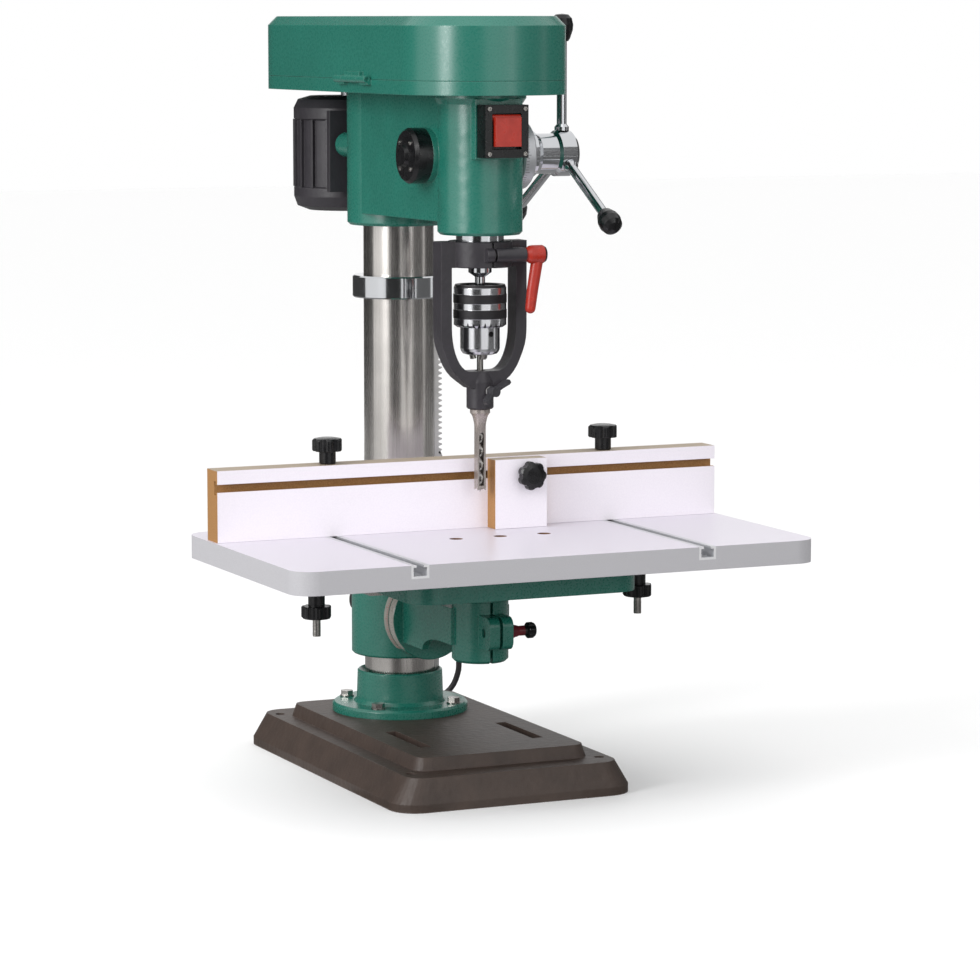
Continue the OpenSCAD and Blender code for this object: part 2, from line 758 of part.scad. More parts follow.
// Steel straps that pull the auxiliary table down on the cast table, each on a stud
module hold_downs() {
    edge = cast_w/2;
    low = z_cast;
    high = z_cast + strap_rise;
    heel = hold_x + 26;
    outline = [[edge - 15, low], [edge - 15, low - strap_t], [edge + 3, low - strap_t], [edge + 9, high],
               [heel, high], [heel, z_board], [heel - 8, z_board], [heel - 8, high + strap_t],
               [edge + 6, high + strap_t], [edge + 1, low]];
    color(steel) for (side = [-1, 1]) mirror([side < 0 ? 1 : 0, 0, 0]) {
        difference() {
            translate([0, spindle_y + strap_w/2, 0]) rotate([90, 0, 0]) linear_extrude(strap_w)
                polygon(outline);
            bar_z(hold_stud_d/2 + gap, hold_x, spindle_y, [z_cast - 10, z_board]);
        }
        bar_z(hold_stud_d/2, hold_x, spindle_y, [z_cast - 47, z_top - 7]);
    }
}

module hold_knob(side) {
    top = z_cast + strap_rise - gap;
    color(black) translate([side*hold_x, spindle_y, top]) mirror([0, 0, 1])
        star_knob(knob_d, knob_h, hub_d, top - z_cast + hub_h, hold_stud_d + 2*run, 60);
}

module hold_knob_left() { hold_knob(-1); }

module hold_knob_right() { hold_knob(1); }

// Fence board with a T slot along its face and a bolt hole over each track
module fence() {
    color(mdf) difference() {
        block([-fence_w/2, fence_w/2], [fence_y, fence_y + fence_t], [z_top + 0.1, z_fence]);
        block([-fence_w, fence_w], [fence_y - 1, fence_y + slot_deep],
            [z_slot - fence_slot_w/2, z_slot + fence_slot_w/2]);
        block([-fence_w, fence_w], [fence_y + slot_lip, fence_y + slot_deep],
            [z_slot - slot_cavity/2, z_slot + slot_cavity/2]);
        for (side = [-1, 1]) bar_z(clamp_bolt_d/2 + gap, side*track_x, fence_mid, [z_top, z_fence + 1]);
    }
}

// Bolts from the tracks up through the fence
module fence_bolts() {
    z0 = z_top - t_deep + 1.5;
    color(steel) for (side = [-1, 1]) {
        block([side*track_x - t_head/2, side*track_x + t_head/2],
            [fence_mid - t_head/2, fence_mid + t_head/2],
              [z0, z0 + t_head_t]);
        bar_z(clamp_bolt_d/2, side*track_x, fence_mid, [z0, z_fence + hub_h - 2]);
    }
}

module fence_knob(side) {
    color(black) translate([side*track_x, fence_mid, z_fence + 0.1])
        star_knob(knob_d, knob_h, hub_d, hub_h, clamp_bolt_d + 2*run, hub_h);
}

module fence_knob_left() { fence_knob(-1); }

module fence_knob_right() { fence_knob(1); }

// Stop block that slides along the fence face
module stop_block() {
    color(white) difference() {
        block([stop_gap, stop_gap + stop_w], [fence_y - 0.1 - stop_t, fence_y - 0.1],
            [z_top + 0.2, z_fence - 1]);
        bar_y(clamp_bolt_d/2 + gap, stop_knob_x, [fence_y - stop_t - 1, fence_y + 1], z_slot);
    }
}

module stop_bolt() {
    y0 = fence_y + slot_lip + gap;
    color(steel) {
        block([stop_knob_x - t_head/2, stop_knob_x + t_head/2], [y0, y0 + t_head_t - 0.4],
            [z_slot - t_head/2, z_slot + t_head/2]);
        bar_y(clamp_bolt_d/2, stop_knob_x, [fence_y - stop_t - 11, y0 + 1], z_slot);
    }
}

module stop_knob() {
    color(black) translate([stop_knob_x, fence_y - stop_t - 0.2, z_slot]) rotate([90, 0, 0])
        star_knob(knob_d - 1, 11, hub_d - 2, 4, clamp_bolt_d + 2*run, 12);
}

// Quill with the feed rack cut into its back
module quill() {
    top = z_deck - 14;
    pitch = PI*feed_m;
    depth = quill_pitch - 1.2*feed_m;
    h = tooth_half(feed_m);
    first = -3;
    last = floor((top - z_feed - 3)/pitch);
    color(steel) difference() {
        translate([0, spindle_y, 0]) turned([
            [spindle_r + run, z_quill], [quill_d/2 - 1.5, z_quill], [quill_d/2, z_quill + 1.5],
                [quill_d/2, top - 1],
            [quill_d/2 - 1, top], [spindle_r + run, top]]);
        for (k = [first:last]) translate([-quill_d/2, spindle_y, z_feed + k*pitch]) rotate([90, 0, 90])
            linear_extrude(quill_d) polygon([
                [depth, -PI*feed_m/2 + h + 0.42*feed_m], [quill_d/2 + 1, -PI*feed_m/2 + h - 0.5*feed_m],
                [quill_d/2 + 1, PI*feed_m/2 - h + 0.5*feed_m], [depth, PI*feed_m/2 - h - 0.42*feed_m]]);
    }
}

// Spindle with the arbor below and the driven end that slides in the pulley
module spindle() {
    low = z_chuck + 24;
    color(steel) translate([0, spindle_y, 0]) turned([
        [0, low], [arbor_r, low], [arbor_r, z_chuck + chuck_h + 8], [nose_r, z_chuck + chuck_h + 13],
        [nose_r, z_quill - gap], [spindle_r, z_quill - gap],
            [spindle_r, z_pulley + pulley_steps*pulley_step + 1],
        [spindle_r - 1, z_pulley + pulley_steps*pulley_step + 2],
            [0, z_pulley + pulley_steps*pulley_step + 2]]);
}

// Axis of one chuck jaw, from its tip upward and outward
module at_jaw(k) {
    translate([0, spindle_y, 0]) rotate(30 + 120*k)
        translate([bit_shank_d/2 + gap + jaw_r, 0, z_nose - jaw_low])
        rotate([0, jaw_lean, 0]) children();
}

// Chuck core with the rounded nose, three jaw bores and key holes
module chuck_body() {
    core = nose_d/2 + 0.5;
    top = z_chuck + chuck_h - 2;
    color(chrome) difference() {
        translate([0, spindle_y, 0]) turned([
            [0, z_nose], [nose_d/2 - 7, z_nose], [nose_d/2 - 3, z_nose + 1.2], [nose_d/2 - 0.8, z_nose + 4],
            [nose_d/2, z_nose + 7], [nose_d/2, z_chuck + 3], [core, z_chuck + 5], [core, top - 1],
                [core - 1, top], [0, top]]);
        bar_z(arbor_r + seat, 0, spindle_y, [z_chuck + 24, top + 1]);
        bar_z(bit_shank_d/2 + gap, 0, spindle_y, [z_nose - 1, z_chuck + 14]);
        for (k = [0:2]) {
            at_jaw(k) cylinder(r = jaw_r + gap, h = 53);
            translate([0, spindle_y, z_nose + 23]) rotate(key_turn + 120*k) rotate([0, 90, 0])
                translate([0, 0, nose_d/2 - 3]) cylinder(d = 6.5, h = 12);
        }
    }
}

// Toothed sleeve that opens and closes the jaws
module chuck_sleeve() {
    r = chuck_d/2;
    in = nose_d/2 + 0.5 + run;
    teeth = 28;
    color(chrome) difference() {
        translate([0, spindle_y, z_chuck]) turned([
            [in, 0], [r - 4, 0], [r - 0.5, 2.5], [r - 0.5, 9.5], [r, 10], [r, 19], [r - 0.5, 19.5],
                [r - 0.5, 26],
            [r, 26.5], [r, 35.5], [r - 0.5, 36], [r - 0.5, 42.5], [r - 2, chuck_h], [in, chuck_h]]);
        for (k = [0:teeth - 1]) translate([0, spindle_y, z_chuck - 0.6]) rotate(k*360/teeth)
            translate([r - 7, 0, 0]) rotate([90, 0, 90]) linear_extrude(9)
                polygon([[-2, 0], [2, 0], [0, 6.5]]);
    }
}

module chuck_jaw(k) {
    color(steel) difference() {
        at_jaw(k) cylinder(r = jaw_r, h = 46);
        bar_z(bit_shank_d/2 + gap, 0, spindle_y, [z_nose - 20, z_chuck + 10]);
        block([-30, 30], [spindle_y - 30, spindle_y + 30], [z_nose - 20, z_nose - jaw_low]);
    }
}

module chuck_jaw_1() { chuck_jaw(0); }

module chuck_jaw_2() { chuck_jaw(1); }

module chuck_jaw_3() { chuck_jaw(2); }

// Bit with a plain shank and a twisted flute inside the chisel
module auger_bit() {
    flute = chisel_len - 12;
    lead = 30;
    r = bit_d/2;
    core = r*0.4;
    web = r*0.48;
    color(steel) translate([0, spindle_y, z_chisel]) {
        translate([0, 0, flute - 1]) cylinder(d = bit_shank_d, h = z_chuck + 12 - z_chisel - flute + 1);
        translate([0, 0, 2]) linear_extrude(flute, twist = -360*flute/lead, slices = 72, $fn = 8)
            polygon([[r, -1], [r, 1], [core, web], [-core, web], [-r, 1], [-r, -1], [-core, -web],
                [core, -web]]);
        difference() {
            turned([[0, -2.5], [0.8, 0.5], [r, 1], [r, 3.5], [0, 3.5]]);
            for (a = [0, 180]) rotate(a) translate([0.8, -r, -3]) cube([r, r - 0.8, 7]);
        }
    }
}

// Half outline of the yoke, from its top to the neck, outer side then inner side
function yoke_side() =
    let (out = yoke_w/2, in = out - yoke_arm, z_arc = z_yoke + 48, foot = yoke_neck_d/2)
    let (z_end = z_yoke_end + 23, ledge = 16)
    concat([[out, z_ring + ring_h]],
           [for (p = yoke_bend) [foot + (out - foot)*p[0], z_end + (z_arc - z_end)*p[1]]],
           [[0, z_end], [0, z_yoke], [ledge, z_yoke]],
           [for (a = [81:-9:0]) [ledge + (in - ledge)*cos(a), z_yoke + (z_arc - z_yoke)*(1 - sin(a))]],
           [[in, z_ring], [0, z_ring], [0, z_ring + ring_h]]);

// Yoke that hangs the chisel below the chuck, clamped round the quill
module chisel_yoke() {
    color(charcoal) difference() {
        union() {
            for (side = [0, 1]) mirror([side, 0, 0])
                translate([0, spindle_y + yoke_t/2, 0]) rotate([90, 0, 0]) linear_extrude(yoke_t)
                    polygon(yoke_side());
            translate([0, spindle_y, 0]) turned([
                [0, z_ring], [ring_r - 1, z_ring], [ring_r, z_ring + 1], [ring_r, z_ring + ring_h - 1],
                [ring_r - 1, z_ring + ring_h], [0, z_ring + ring_h]]);
            translate([0, spindle_y, 0]) turned([
                [0, z_yoke_end], [yoke_neck_d/2 - 1.5, z_yoke_end], [yoke_neck_d/2, z_yoke_end + 1.5],
                [yoke_neck_d/2, z_yoke - 12], [yoke_neck_d/2 - 3, z_yoke - 1], [0, z_yoke - 1]]);
            bar_x(clamp_r, [-10, 36], clamp_y, z_clamp);
            block([-10, 36], [clamp_y, spindle_y - 18], [z_clamp - clamp_r, z_clamp + clamp_r]);
        }
        bar_z(quill_d/2 + seat, 0, spindle_y, [z_quill, z_ring + ring_h + 1]);
        bar_z(quill_d/2 - 6, 0, spindle_y, [z_ring - 1, z_quill + 1]);
        block([-1.25, 1.25], [clamp_y - clamp_r - 1, spindle_y - quill_d/2 + 3],
            [z_ring - 1, z_ring + ring_h + 1]);
        bar_x(clamp_screw_r + run, [-8, 40], clamp_y, z_clamp);
        bar_z(chisel_shank_d/2 + seat, 0, spindle_y, [z_yoke_end - 1, z_yoke - 6]);
        bar_z(chisel_w/2 + 1, 0, spindle_y, [z_yoke - 8, z_yoke + 1]);
        translate([0, spindle_y, z_wing]) rotate(wing_turn) rotate([0, 90, 0])
            cylinder(r = 3 + run, h = yoke_neck_d);
    }
}

// Square hollow chisel with a flared shoulder, a chip window and four cutting corners
module chisel() {
    bore = bit_d/2 + 0.4;
    z_collar_low = z_yoke_end - 5;
    shank_top = z_yoke - 7;
    side = chisel_w/2;
    shoulder = chisel_collar_d/2;
    color(steel) difference() {
        translate([0, spindle_y, 0]) union() {
            turned([[0, z_collar_low - 24], [side, z_collar_low - 24], [side + 1.1, z_collar_low - 16],
                    [side + 2, z_collar_low - 10], [side + 3.1, z_collar_low - 5],
                    [side + 4.3, z_collar_low - 2], [shoulder - 0.8, z_collar_low - 0.5],
                    [shoulder, z_collar_low + 0.4], [shoulder, z_collar_low + 4.2],
                    [shoulder - 0.7, z_yoke_end - 0.1],
                    [chisel_shank_d/2, z_yoke_end - 0.1], [chisel_shank_d/2, shank_top - 1],
                    [chisel_shank_d/2 - 1, shank_top], [0, shank_top]]);
            intersection() {
                translate([-side, -side, z_chisel]) cube([chisel_w, chisel_w, z_collar_low - z_chisel]);
                turned([[0, z_chisel], [chisel_w, z_chisel], [chisel_w, z_collar_low - 22],
                    [side, z_collar_low - 6], [0, z_collar_low - 6]]);
            }
        }
        bar_z(bore, 0, spindle_y, [z_chisel - 1, shank_top + 1]);
        translate([0, spindle_y, z_chisel - 0.1]) cylinder(r1 = chisel_w*0.71, r2 = 0, h = chisel_w*0.8);
        block([-chisel_w*0.31, chisel_w*0.31], [spindle_y - chisel_w, spindle_y],
            [z_chisel + 5, z_chisel + chisel_len - 24]);
        bar_y(chisel_w*0.31, 0, [spindle_y - chisel_w, spindle_y], z_chisel + chisel_len - 24);
    }
}

// Yoke clamp screw with its red lever hanging down at the right
module yoke_lever() {
    x0 = 36 + gap;
    y = clamp_y;
    color(red) {
        bar_x(clamp_screw_r, [-7, x0 + 4], y, z_clamp);
        translate([x0, y, z_clamp]) rotate([0, 90, 0]) turned([
            [0, 0], [6, 0], [9.5, 5], [10, 8], [10, 20], [8.5, 23], [0, 23]]);
        hull() {
            translate([x0 + 14, y, z_clamp - 9]) sphere(6.5, $fn = 24);
            translate([x0 + 9, y, z_clamp - 38]) sphere(6.2, $fn = 24);
        }
        hull() {
            translate([x0 + 9, y, z_clamp - 38]) sphere(6.2, $fn = 24);
            translate([x0 + 6.5, y, z_clamp - 58]) sphere(5.6, $fn = 24);
        }
    }
}

// Wing screw that holds the chisel in the yoke neck, with its lock nut
module wing_screw() {
    start = chisel_shank_d/2 + 0.1;
    out = yoke_neck_d/2 + gap;
    nut = 3.8;
    color(black) translate([0, spindle_y, z_wing]) rotate(wing_turn) rotate([0, 90, 0]) {
        translate([0, 0, start]) cylinder(r = 3, h = out - start + nut + 4);
        translate([0, 0, out]) cylinder(r = 5, h = nut, $fn = 6);
        translate([0, 0, out + nut]) cylinder(r = 5.6, h = 9);
        rotate(wing_lean) for (side = [-1, 1]) translate([0, -1.8, out + nut + 1]) rotate([-90, 0, 0])
            linear_extrude(3.6)
            polygon([[side*1.5, 0], [side*7, 0], [side*16.4, -2.3], [side*20.5, -6.4], [side*20, -11.7],
                [side*16.4, -12.9], [side*9.4, -9.4], [side*1.5, -7]]);
    }
}

// Head casting: quill housing in front, body between, split clamp round the column
module head() {
    body_low = z_head + 14;
    wall = 10;
    color(green) difference() {
        union() {
            translate([0, spindle_y, 0]) turned([
                [0, z_head], [housing_r - 3, z_head], [housing_r, z_head + 3], [housing_r, z_deck - 10],
                [housing_r + 4, z_deck - 4], [housing_r + 4, z_deck], [0, z_deck]]);
            translate([0, col_y, 0]) turned([
                [0, z_head], [clamp_out - 3, z_head], [clamp_out, z_head + 3], [clamp_out, z_deck],
                    [0, z_deck]]);
            translate([0, 0, body_low]) linear_extrude(z_deck - body_low) polygon([
                [-housing_r + 2, spindle_y], [housing_r - 2, spindle_y], [clamp_out - 3, col_y],
                    [3 - clamp_out, col_y]]);
            bar_x(30, [-head_side - 2, head_side + 2], feed_y, z_feed);
            for (side = [-1, 1]) bar_y(rod_r + 6, side*rod_x, [col_y, plate_y - 8], z_rod);
            block([-27, 27], [spindle_y - housing_r - 2, spindle_y], [z_deck - switch_drop - 2, z_deck - 4]);
            for (z = [z_head + 40, z_head + 110]) bar_x(9, [0, clamp_out + 5], col_y, z);
        }
        bar_z(col_r + seat, 0, col_y, [z_head - 1, base_h + col_h]);
        bar_z(quill_d/2 + run, 0, spindle_y, [z_head - 1, z_deck - 12]);
        bar_z(pulley_hub_r + run, 0, spindle_y, [z_deck - 13, z_deck + 1]);
        bar_x(feed_shaft_r + run, [-head_side - 3, head_side + 3], feed_y, z_feed);
        block([-housing_r + wall, housing_r - wall], [spindle_y + housing_r + 26, col_y - clamp_out - 4],
            [z_head, z_deck - 12]);
        for (side = [-1, 1]) bar_y(rod_r + run, side*rod_x, [col_y + col_r + 4, plate_y], z_rod);
    }
}

// Floor and rim of the belt guard with the fixed half of the lid hinge
module belt_guard() {
    color(green) difference() {
        union() {
            translate([0, 0, z_deck]) linear_extrude(pan_h) stadium(spindle_y, motor_y, guard_r);
            at_hinge([1, 4]) bar_y(hinge_r, 0, [0, 22], 0);
            at_hinge([1, 4]) block([0, hinge_r + 2], [0, 22], [-hinge_r - 2, -0.6]);
        }
        translate([0, 0, z_deck + pan_t]) linear_extrude(pan_h)
            stadium(spindle_y, motor_y, guard_r - guard_t);
        bar_z(pulley_hub_r + 5, 0, spindle_y, [z_deck - 1, z_deck + 10]);
        translate([0, 0, z_deck - 1]) linear_extrude(10) stadium(motor_y - 12, motor_y, 16);
        at_hinge([1, 4]) bar_y(lid_pin_r + run, 0, [-1, 23], 0);
    }
}

// Start of each hinge knuckle, side by side along the left edge
module at_hinge(places) {
    for (k = places)
        translate([hinge_x, spindle_y + 60 + k*(22 + gap), z_lid]) children();
}

// Lid over the pulleys with the moving half of the hinge, its pin and a grip
module guard_lid() {
    wall = guard_t;
    slope = 10;
    color(green) {
        difference() {
            union() {
                translate([0, 0, z_lid]) linear_extrude(lid_h - slope) stadium(spindle_y, motor_y, guard_r);
                hull() {
                    translate([0, 0, z_lid + lid_h - slope - 1]) linear_extrude(1)
                        stadium(spindle_y, motor_y, guard_r, $fn = 64);
                    translate([0, 0, z_lid + lid_h - 1]) linear_extrude(1)
                        stadium(spindle_y, motor_y, guard_r - slope, $fn = 64);
                }
                at_hinge([2, 3]) bar_y(hinge_r, 0, [0, 22], 0);
                at_hinge([2, 3]) block([0, hinge_r + 2], [0, 22], [0.6, hinge_r + 4]);
            }
            translate([0, 0, z_lid - 1]) linear_extrude(lid_h - slope - wall + 1)
                stadium(spindle_y, motor_y, guard_r - wall);
            hull() {
                translate([0, 0, z_lid + lid_h - slope - wall - 1]) linear_extrude(1)
                    stadium(spindle_y, motor_y, guard_r - wall, $fn = 64);
                translate([0, 0, z_lid + lid_h - wall - 1]) linear_extrude(1)
                    stadium(spindle_y, motor_y, guard_r - slope - wall, $fn = 64);
            }
            at_hinge([2, 3]) bar_y(lid_pin_r, 0, [-1, 23], 0);
        }
        at_hinge([1]) bar_y(lid_pin_r, 0, [1, 4*(22 + gap) - 1], 0);
        translate([guard_r - 1, spindle_y + 245, z_lid + 14]) rotate([0, 90, 0]) turned([
            [0, 0], [4, 0], [4, 5], [8, 8], [9, 12], [7.5, 15], [0, 16]]);
    }
}

// Stepped pulley standing on +Z: radius of each step from the bottom, belt groove in each
module stepped_pulley(radii, hub_r, hub_drop, bore_r) {
    h = pulley_step;
    steps = [for (k = [0:len(radii) - 1]) let (r = radii[k], z = k*h)
        each [[r, z], [r, z + h/2 - 5], [r - belt_t - 1, z + h/2 - 4], [r - belt_t - 1, z + h/2 + 4],
            [r, z + h/2 + 5], [r, z + h]]];
    turned(concat([[bore_r, -hub_drop], [hub_r, -hub_drop], [hub_r, 0]], steps, [[bore_r, len(radii)*h]]));
}

function spindle_step(k) = driven_d/2 + (belt_step - k)*pulley_drop/2;
function motor_step(k) = pulley_sum/2 - spindle_step(k);

module spindle_pulley() {
    color(alloy) translate([0, spindle_y, z_pulley])
        stepped_pulley([for (k = [0:pulley_steps - 1]) spindle_step(k)], pulley_hub_r, pan_h + 14,
            spindle_r + run);
}

// Motor pulley and the motor shaft that carries it
module motor_pulley() {
    color(alloy) translate([0, motor_y, z_pulley]) {
        stepped_pulley([for (k = [0:pulley_steps - 1]) motor_step(k)], 14, 2, 0);
        translate([0, 0, -pan_h - 3 - 11]) cylinder(r = 8, h = pan_h + 16);
    }
}

// Belt in the second step, round both pulleys
module drive_belt() {
    r0 = spindle_step(belt_step) - belt_t + 0.5;
    r1 = motor_step(belt_step) - belt_t + 0.5;
    z = z_pulley + (belt_step + 0.5)*pulley_step - belt_h/2;
    color(black) translate([0, 0, z]) linear_extrude(belt_h) difference() {
        belt_outline(r0 + belt_t, r1 + belt_t);
        belt_outline(r0, r1);
    }
}

module belt_outline(r0, r1) {
    hull() {
        translate([0, spindle_y]) circle(r0, $fn = 72);
        translate([0, motor_y]) circle(r1, $fn = 72);
    }
}

// Motor with end bells, cooling fins, a foot towards the plate and a connection box
module motor() {
    r = motor_d/2;
    top = z_deck - 8;
    low = top - motor_h;
    fins = 20;
    color(charcoal) difference() {
        union() {
            translate([0, motor_y, 0]) turned([
                [0, low], [r - 18, low], [r - 5, low + 5], [r - 1, low + 16], [r - 1, low + 26],
                    [r - 4, low + 28],
                [r - 4, top - 28], [r - 1, top - 26], [r - 1, top - 14], [r - 6, top - 4], [r - 20, top],
                    [0, top]]);
            for (k = [0:fins - 1]) translate([0, motor_y, low + 27]) rotate(9 + k*360/fins)
                translate([r - 8, -1.5, 0]) cube([8, 3, motor_h - 54]);
            block([-40, 40], [plate_y + plate_t, motor_y - r + 12], [low + 32, top - 32]);
            block([r - 12, r + 20], [motor_y - 30, motor_y + 30], [low + 36, top - 36]);
        }
        bar_z(8 + run, 0, motor_y, [top - 12, top + 1]);
    }
}

// Plate that carries the motor on two rods in the head
module motor_plate() {
    top = z_deck - 8;
    color(iron) {
        block([-plate_half, plate_half], [plate_y, plate_y + plate_t],
            [top - motor_h*0.82, top - motor_h*0.12]);
        for (side = [-1, 1]) bar_y(rod_r, side*rod_x, [col_y + col_r + 12, plate_y + 1], z_rod);
    }
}

// Feed shaft with its pinion, the sleeve for the depth ring and the handle hub
module feed_hub() {
    sleeve = 16;
    color(chrome) {
        bar_x(feed_shaft_r, [-head_side - 1.7, -14], feed_y, z_feed);
        bar_x(feed_shaft_r, [14, head_side + 3], feed_y, z_feed);
        translate([-14.5, feed_y, z_feed]) rotate([90, 0, 90]) linear_extrude(29)
            rotate(180) polygon(gear(feed_teeth, feed_m));
        bar_x(sleeve, [head_side + 2 + gap, head_side + 20], feed_y, z_feed);
        translate([head_side + 18, feed_y, z_feed]) rotate([0, 90, 0]) turned([
            [0, 0], [24, 0], [26, 2], [26, 8], [22, 14], [22, handle_x - head_side - 30],
                [25, handle_x - head_side - 27],
            [25, handle_x - head_side - 10], [21, handle_x - head_side - 6], [0, handle_x - head_side - 5]]);
    }
}

module at_handle(k) {
    translate([handle_x, feed_y, z_feed]) rotate([120*k, 0, 0]) children();
}

module feed_handles() {
    color(chrome) for (k = [0:2]) at_handle(k) translate([0, 0, 25.05]) turned([
        [0, 0], [8, 0], [8, 4], [5.5, 7], [5.5, handle_len - 24], [0, handle_len - 24]]);
}

module feed_knobs() {
    color(black) for (k = [0:2]) at_handle(k) translate([0, 0, handle_len - 16]) difference() {
        turned([[0, 0], [7, 0], [9, 3], [12, 12], [12.5, 18], [11, 25], [7, 29], [0, 30]]);
        translate([0, 0, -1]) cylinder(r = 5.5 + seat, h = 19);
    }
}

// Ring with the depth scale, on the feed sleeve
module depth_ring() {
    x0 = head_side + 2 + gap;
    color(alloy) translate([x0, feed_y, z_feed]) rotate([0, 90, 0]) turned([
        [16 + run, 0], [36, 0], [38, 2], [38, 13], [36, 15], [16 + run, 15]]);
}

// Case of the return spring at the left end of the feed shaft
module spring_cap() {
    color(black) translate([-head_side - 2, feed_y, z_feed]) rotate([0, -90, 0]) turned([
        [0, 0], [30, 0], [30, 16], [27, 20], [12, 21], [10, 25], [0, 25]]);
}

// Switch case in front of the head, with a pin for the paddle
module switch_box() {
    y1 = spindle_y - housing_r - 2;
    z0 = z_deck - switch_drop;
    color(black) difference() {
        block([-25, 25], [y1 - 22, y1], [z0, z0 + 56]);
        block([-17, 17], [y1 - 23, y1 - 14], [z0 + 9, z0 + 47]);
    }
}

module switch_paddle() {
    y1 = spindle_y - housing_r - 2;
    z0 = z_deck - switch_drop;
    color(red) {
        bar_x(3, [-17 + gap, 17 - gap], y1 - 18, z0 + 43);
        block([-15, 15], [y1 - 26, y1 - 20], [z0 + 12, z0 + 43]);
        block([-15, 15], [y1 - 20.5, y1 - 17], [z0 + 36, z0 + 43]);
    }
}

// Gland under the rear of the head where the power cord comes out
module cord_relief() {
    p = cord_points[0];
    color(black) translate([p[0], p[1], p[2]]) turned([
        [0, 0], [cord_r + 1, 0], [cord_r + 2.4, z_head - p[2] - 5], [cord_r + 4, z_head - p[2] - 5],
        [cord_r + 4, z_head - p[2]], [0, z_head - p[2]]]);
}

// Smooth points through a route, and a closed tube swept along points
function spline(a, b, c, d, t) =
    0.5*(2*b + (c - a)*t + (2*a - 5*b + 4*c - d)*t*t + (3*b - a - 3*c + d)*t*t*t);
function smooth(p, size) =
    let (last = len(p) - 1)
    concat([for (k = [0:last - 1])
        let (a = k > 0 ? p[k - 1] : 2*p[0] - p[1], d = k < last - 1 ? p[k + 2] : 2*p[last] - p[last - 1])
        let (steps = max(1, round(norm(p[k + 1] - p[k])/size)))
        for (s = [0:steps - 1]) spline(a, p[k], p[k + 1], d, s/steps)], [p[last]]);
function unit(v) = v/norm(v);
function ring_at(p, k, r, sides, side_dir) =
    let (last = len(p) - 1, t = unit(p[min(k + 1, last)] - p[max(k - 1, 0)]))
    let (u = unit(cross(t, side_dir)), v = cross(t, u))
    [for (s = [0:sides - 1]) p[k] + r*(cos(s*360/sides)*u + sin(s*360/sides)*v)];

module sweep_tube(p, r, sides, side_dir) {
    n = len(p);
    points = [for (k = [0:n - 1]) each ring_at(p, k, r, sides, side_dir)];
    walls = [for (k = [0:n - 2], s = [0:sides - 1]) let (a = k*sides + s, b = k*sides + (s + 1)%sides)
        each [[a, b, a + sides], [b, b + sides, a + sides]]];
    ends = [for (s = [1:sides - 2]) each [[0, s + 1, s],
        [(n - 1)*sides, (n - 1)*sides + s, (n - 1)*sides + s + 1]]];
    polyhedron(points, concat(walls, ends));
}

module power_cord() {
    color(black) sweep_tube(smooth(cord_points, 2.6*cord_d), cord_r, 10, [0, 1, 0]);
}

// Coil of the spare cord: in along the lower layer, up in half a turn, out along the upper one
function coil_point(t) =
    let (r = coil_r - coil_step*min(t, coil_turns - t), a = 90 + 360*t)
    let (climb = min(1, max(0, (t - coil_turns/2)*2 + 0.5)))
    [coil_x + r*cos(a), coil_y + r*sin(a), cord_z + coil_step*climb*climb*(3 - 2*climb)];
coil_path = concat([cord_points[len(cord_points) - 1]], [for (k = [0:coil_turns*24]) coil_point(k/24)],
                   [coil_point(coil_turns) + [cord_d, 0, 0]]);
// Least clear gap of the coil to itself, measured between points half a turn apart or more
coil_gap = min([for (i = [0:len(coil_path) - 1], j = [i + 12:1:len(coil_path) - 1])
    norm(coil_path[i] - coil_path[j])]) - cord_d;
echo(coil_gap = coil_gap);

module cord_coil() {
    color(black) sweep_tube(coil_path, cord_r, 6, [0, 0, 1]);
}

// Band that holds the coil together
module cord_tie() {
    inner = coil_r - coil_step*coil_turns/2 - cord_r - gap;
    outer = coil_r + cord_r + gap;
    z0 = cord_z - cord_r - gap;
    z1 = cord_z + coil_step + cord_r + gap;
    wall = 1.2;
    color(black) difference() {
        block([coil_x - outer - wall, coil_x - inner + wall], [coil_y - 5, coil_y + 5],
            [z0 - wall, z1 + wall]);
        block([coil_x - outer, coil_x - inner], [coil_y - 6, coil_y + 6], [z0, z1]);
    }
}

// Moulded plug with three pins at the end of the cord
module power_plug() {
    p = coil_path[len(coil_path) - 1];
    color(black) translate(p) rotate([0, 90, 0]) {
        turned([[0, 0], [cord_r + 1, 0], [cord_r + 2.5, 14], [0, 14]]);
        translate([0, 0, 13]) turned([[0, 0], [cord_r + 2.5, 0], [11.5, 5], [12.5, 12], [12.5, 24],
            [11.5, 25], [0, 25]]);
        for (y = [-6.3, 6.3]) translate([-4, y - 0.8, 37]) cube([6.3, 1.6, 17]);
        translate([5, 0, 37]) cylinder(r = 2.4, h = 19);
    }
}

base();
column_flange();
flange_bolts();
column();
rack_collar();
lift_rack();
table_bracket();
bracket_lock();
lift_crank();
crank_handle();
tilt_bolt();
tilt_scale();
table_arm();
arm_lock();
cast_table();
table_board();
t_tracks();
hold_downs();
hold_knob_left();
hold_knob_right();
fence();
fence_bolts();
fence_knob_left();
fence_knob_right();
stop_block();
stop_bolt();
stop_knob();
quill();
spindle();
chuck_body();
chuck_sleeve();
chuck_jaw_1();
chuck_jaw_2();
chuck_jaw_3();
auger_bit();
chisel_yoke();
chisel();
yoke_lever();
wing_screw();
head();
belt_guard();
guard_lid();
spindle_pulley();
motor_pulley();
drive_belt();
motor();
motor_plate();
feed_hub();
feed_handles();
feed_knobs();
depth_ring();
spring_cap();
switch_box();
switch_paddle();
cord_relief();
power_cord();
cord_coil();
cord_tie();
power_plug();
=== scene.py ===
"""Benchtop drill press with a mortising attachment: finishes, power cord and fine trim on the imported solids.

Every length is in metres in the part's own frame: the origin is the middle of the foot, +Z is up and the front is -Y.
"""

import json
import logging
import math
from dataclasses import dataclass, fields, replace
from enum import Enum
from typing import Any, ClassVar, Sequence

import bpy
from mathutils import Matrix, Vector

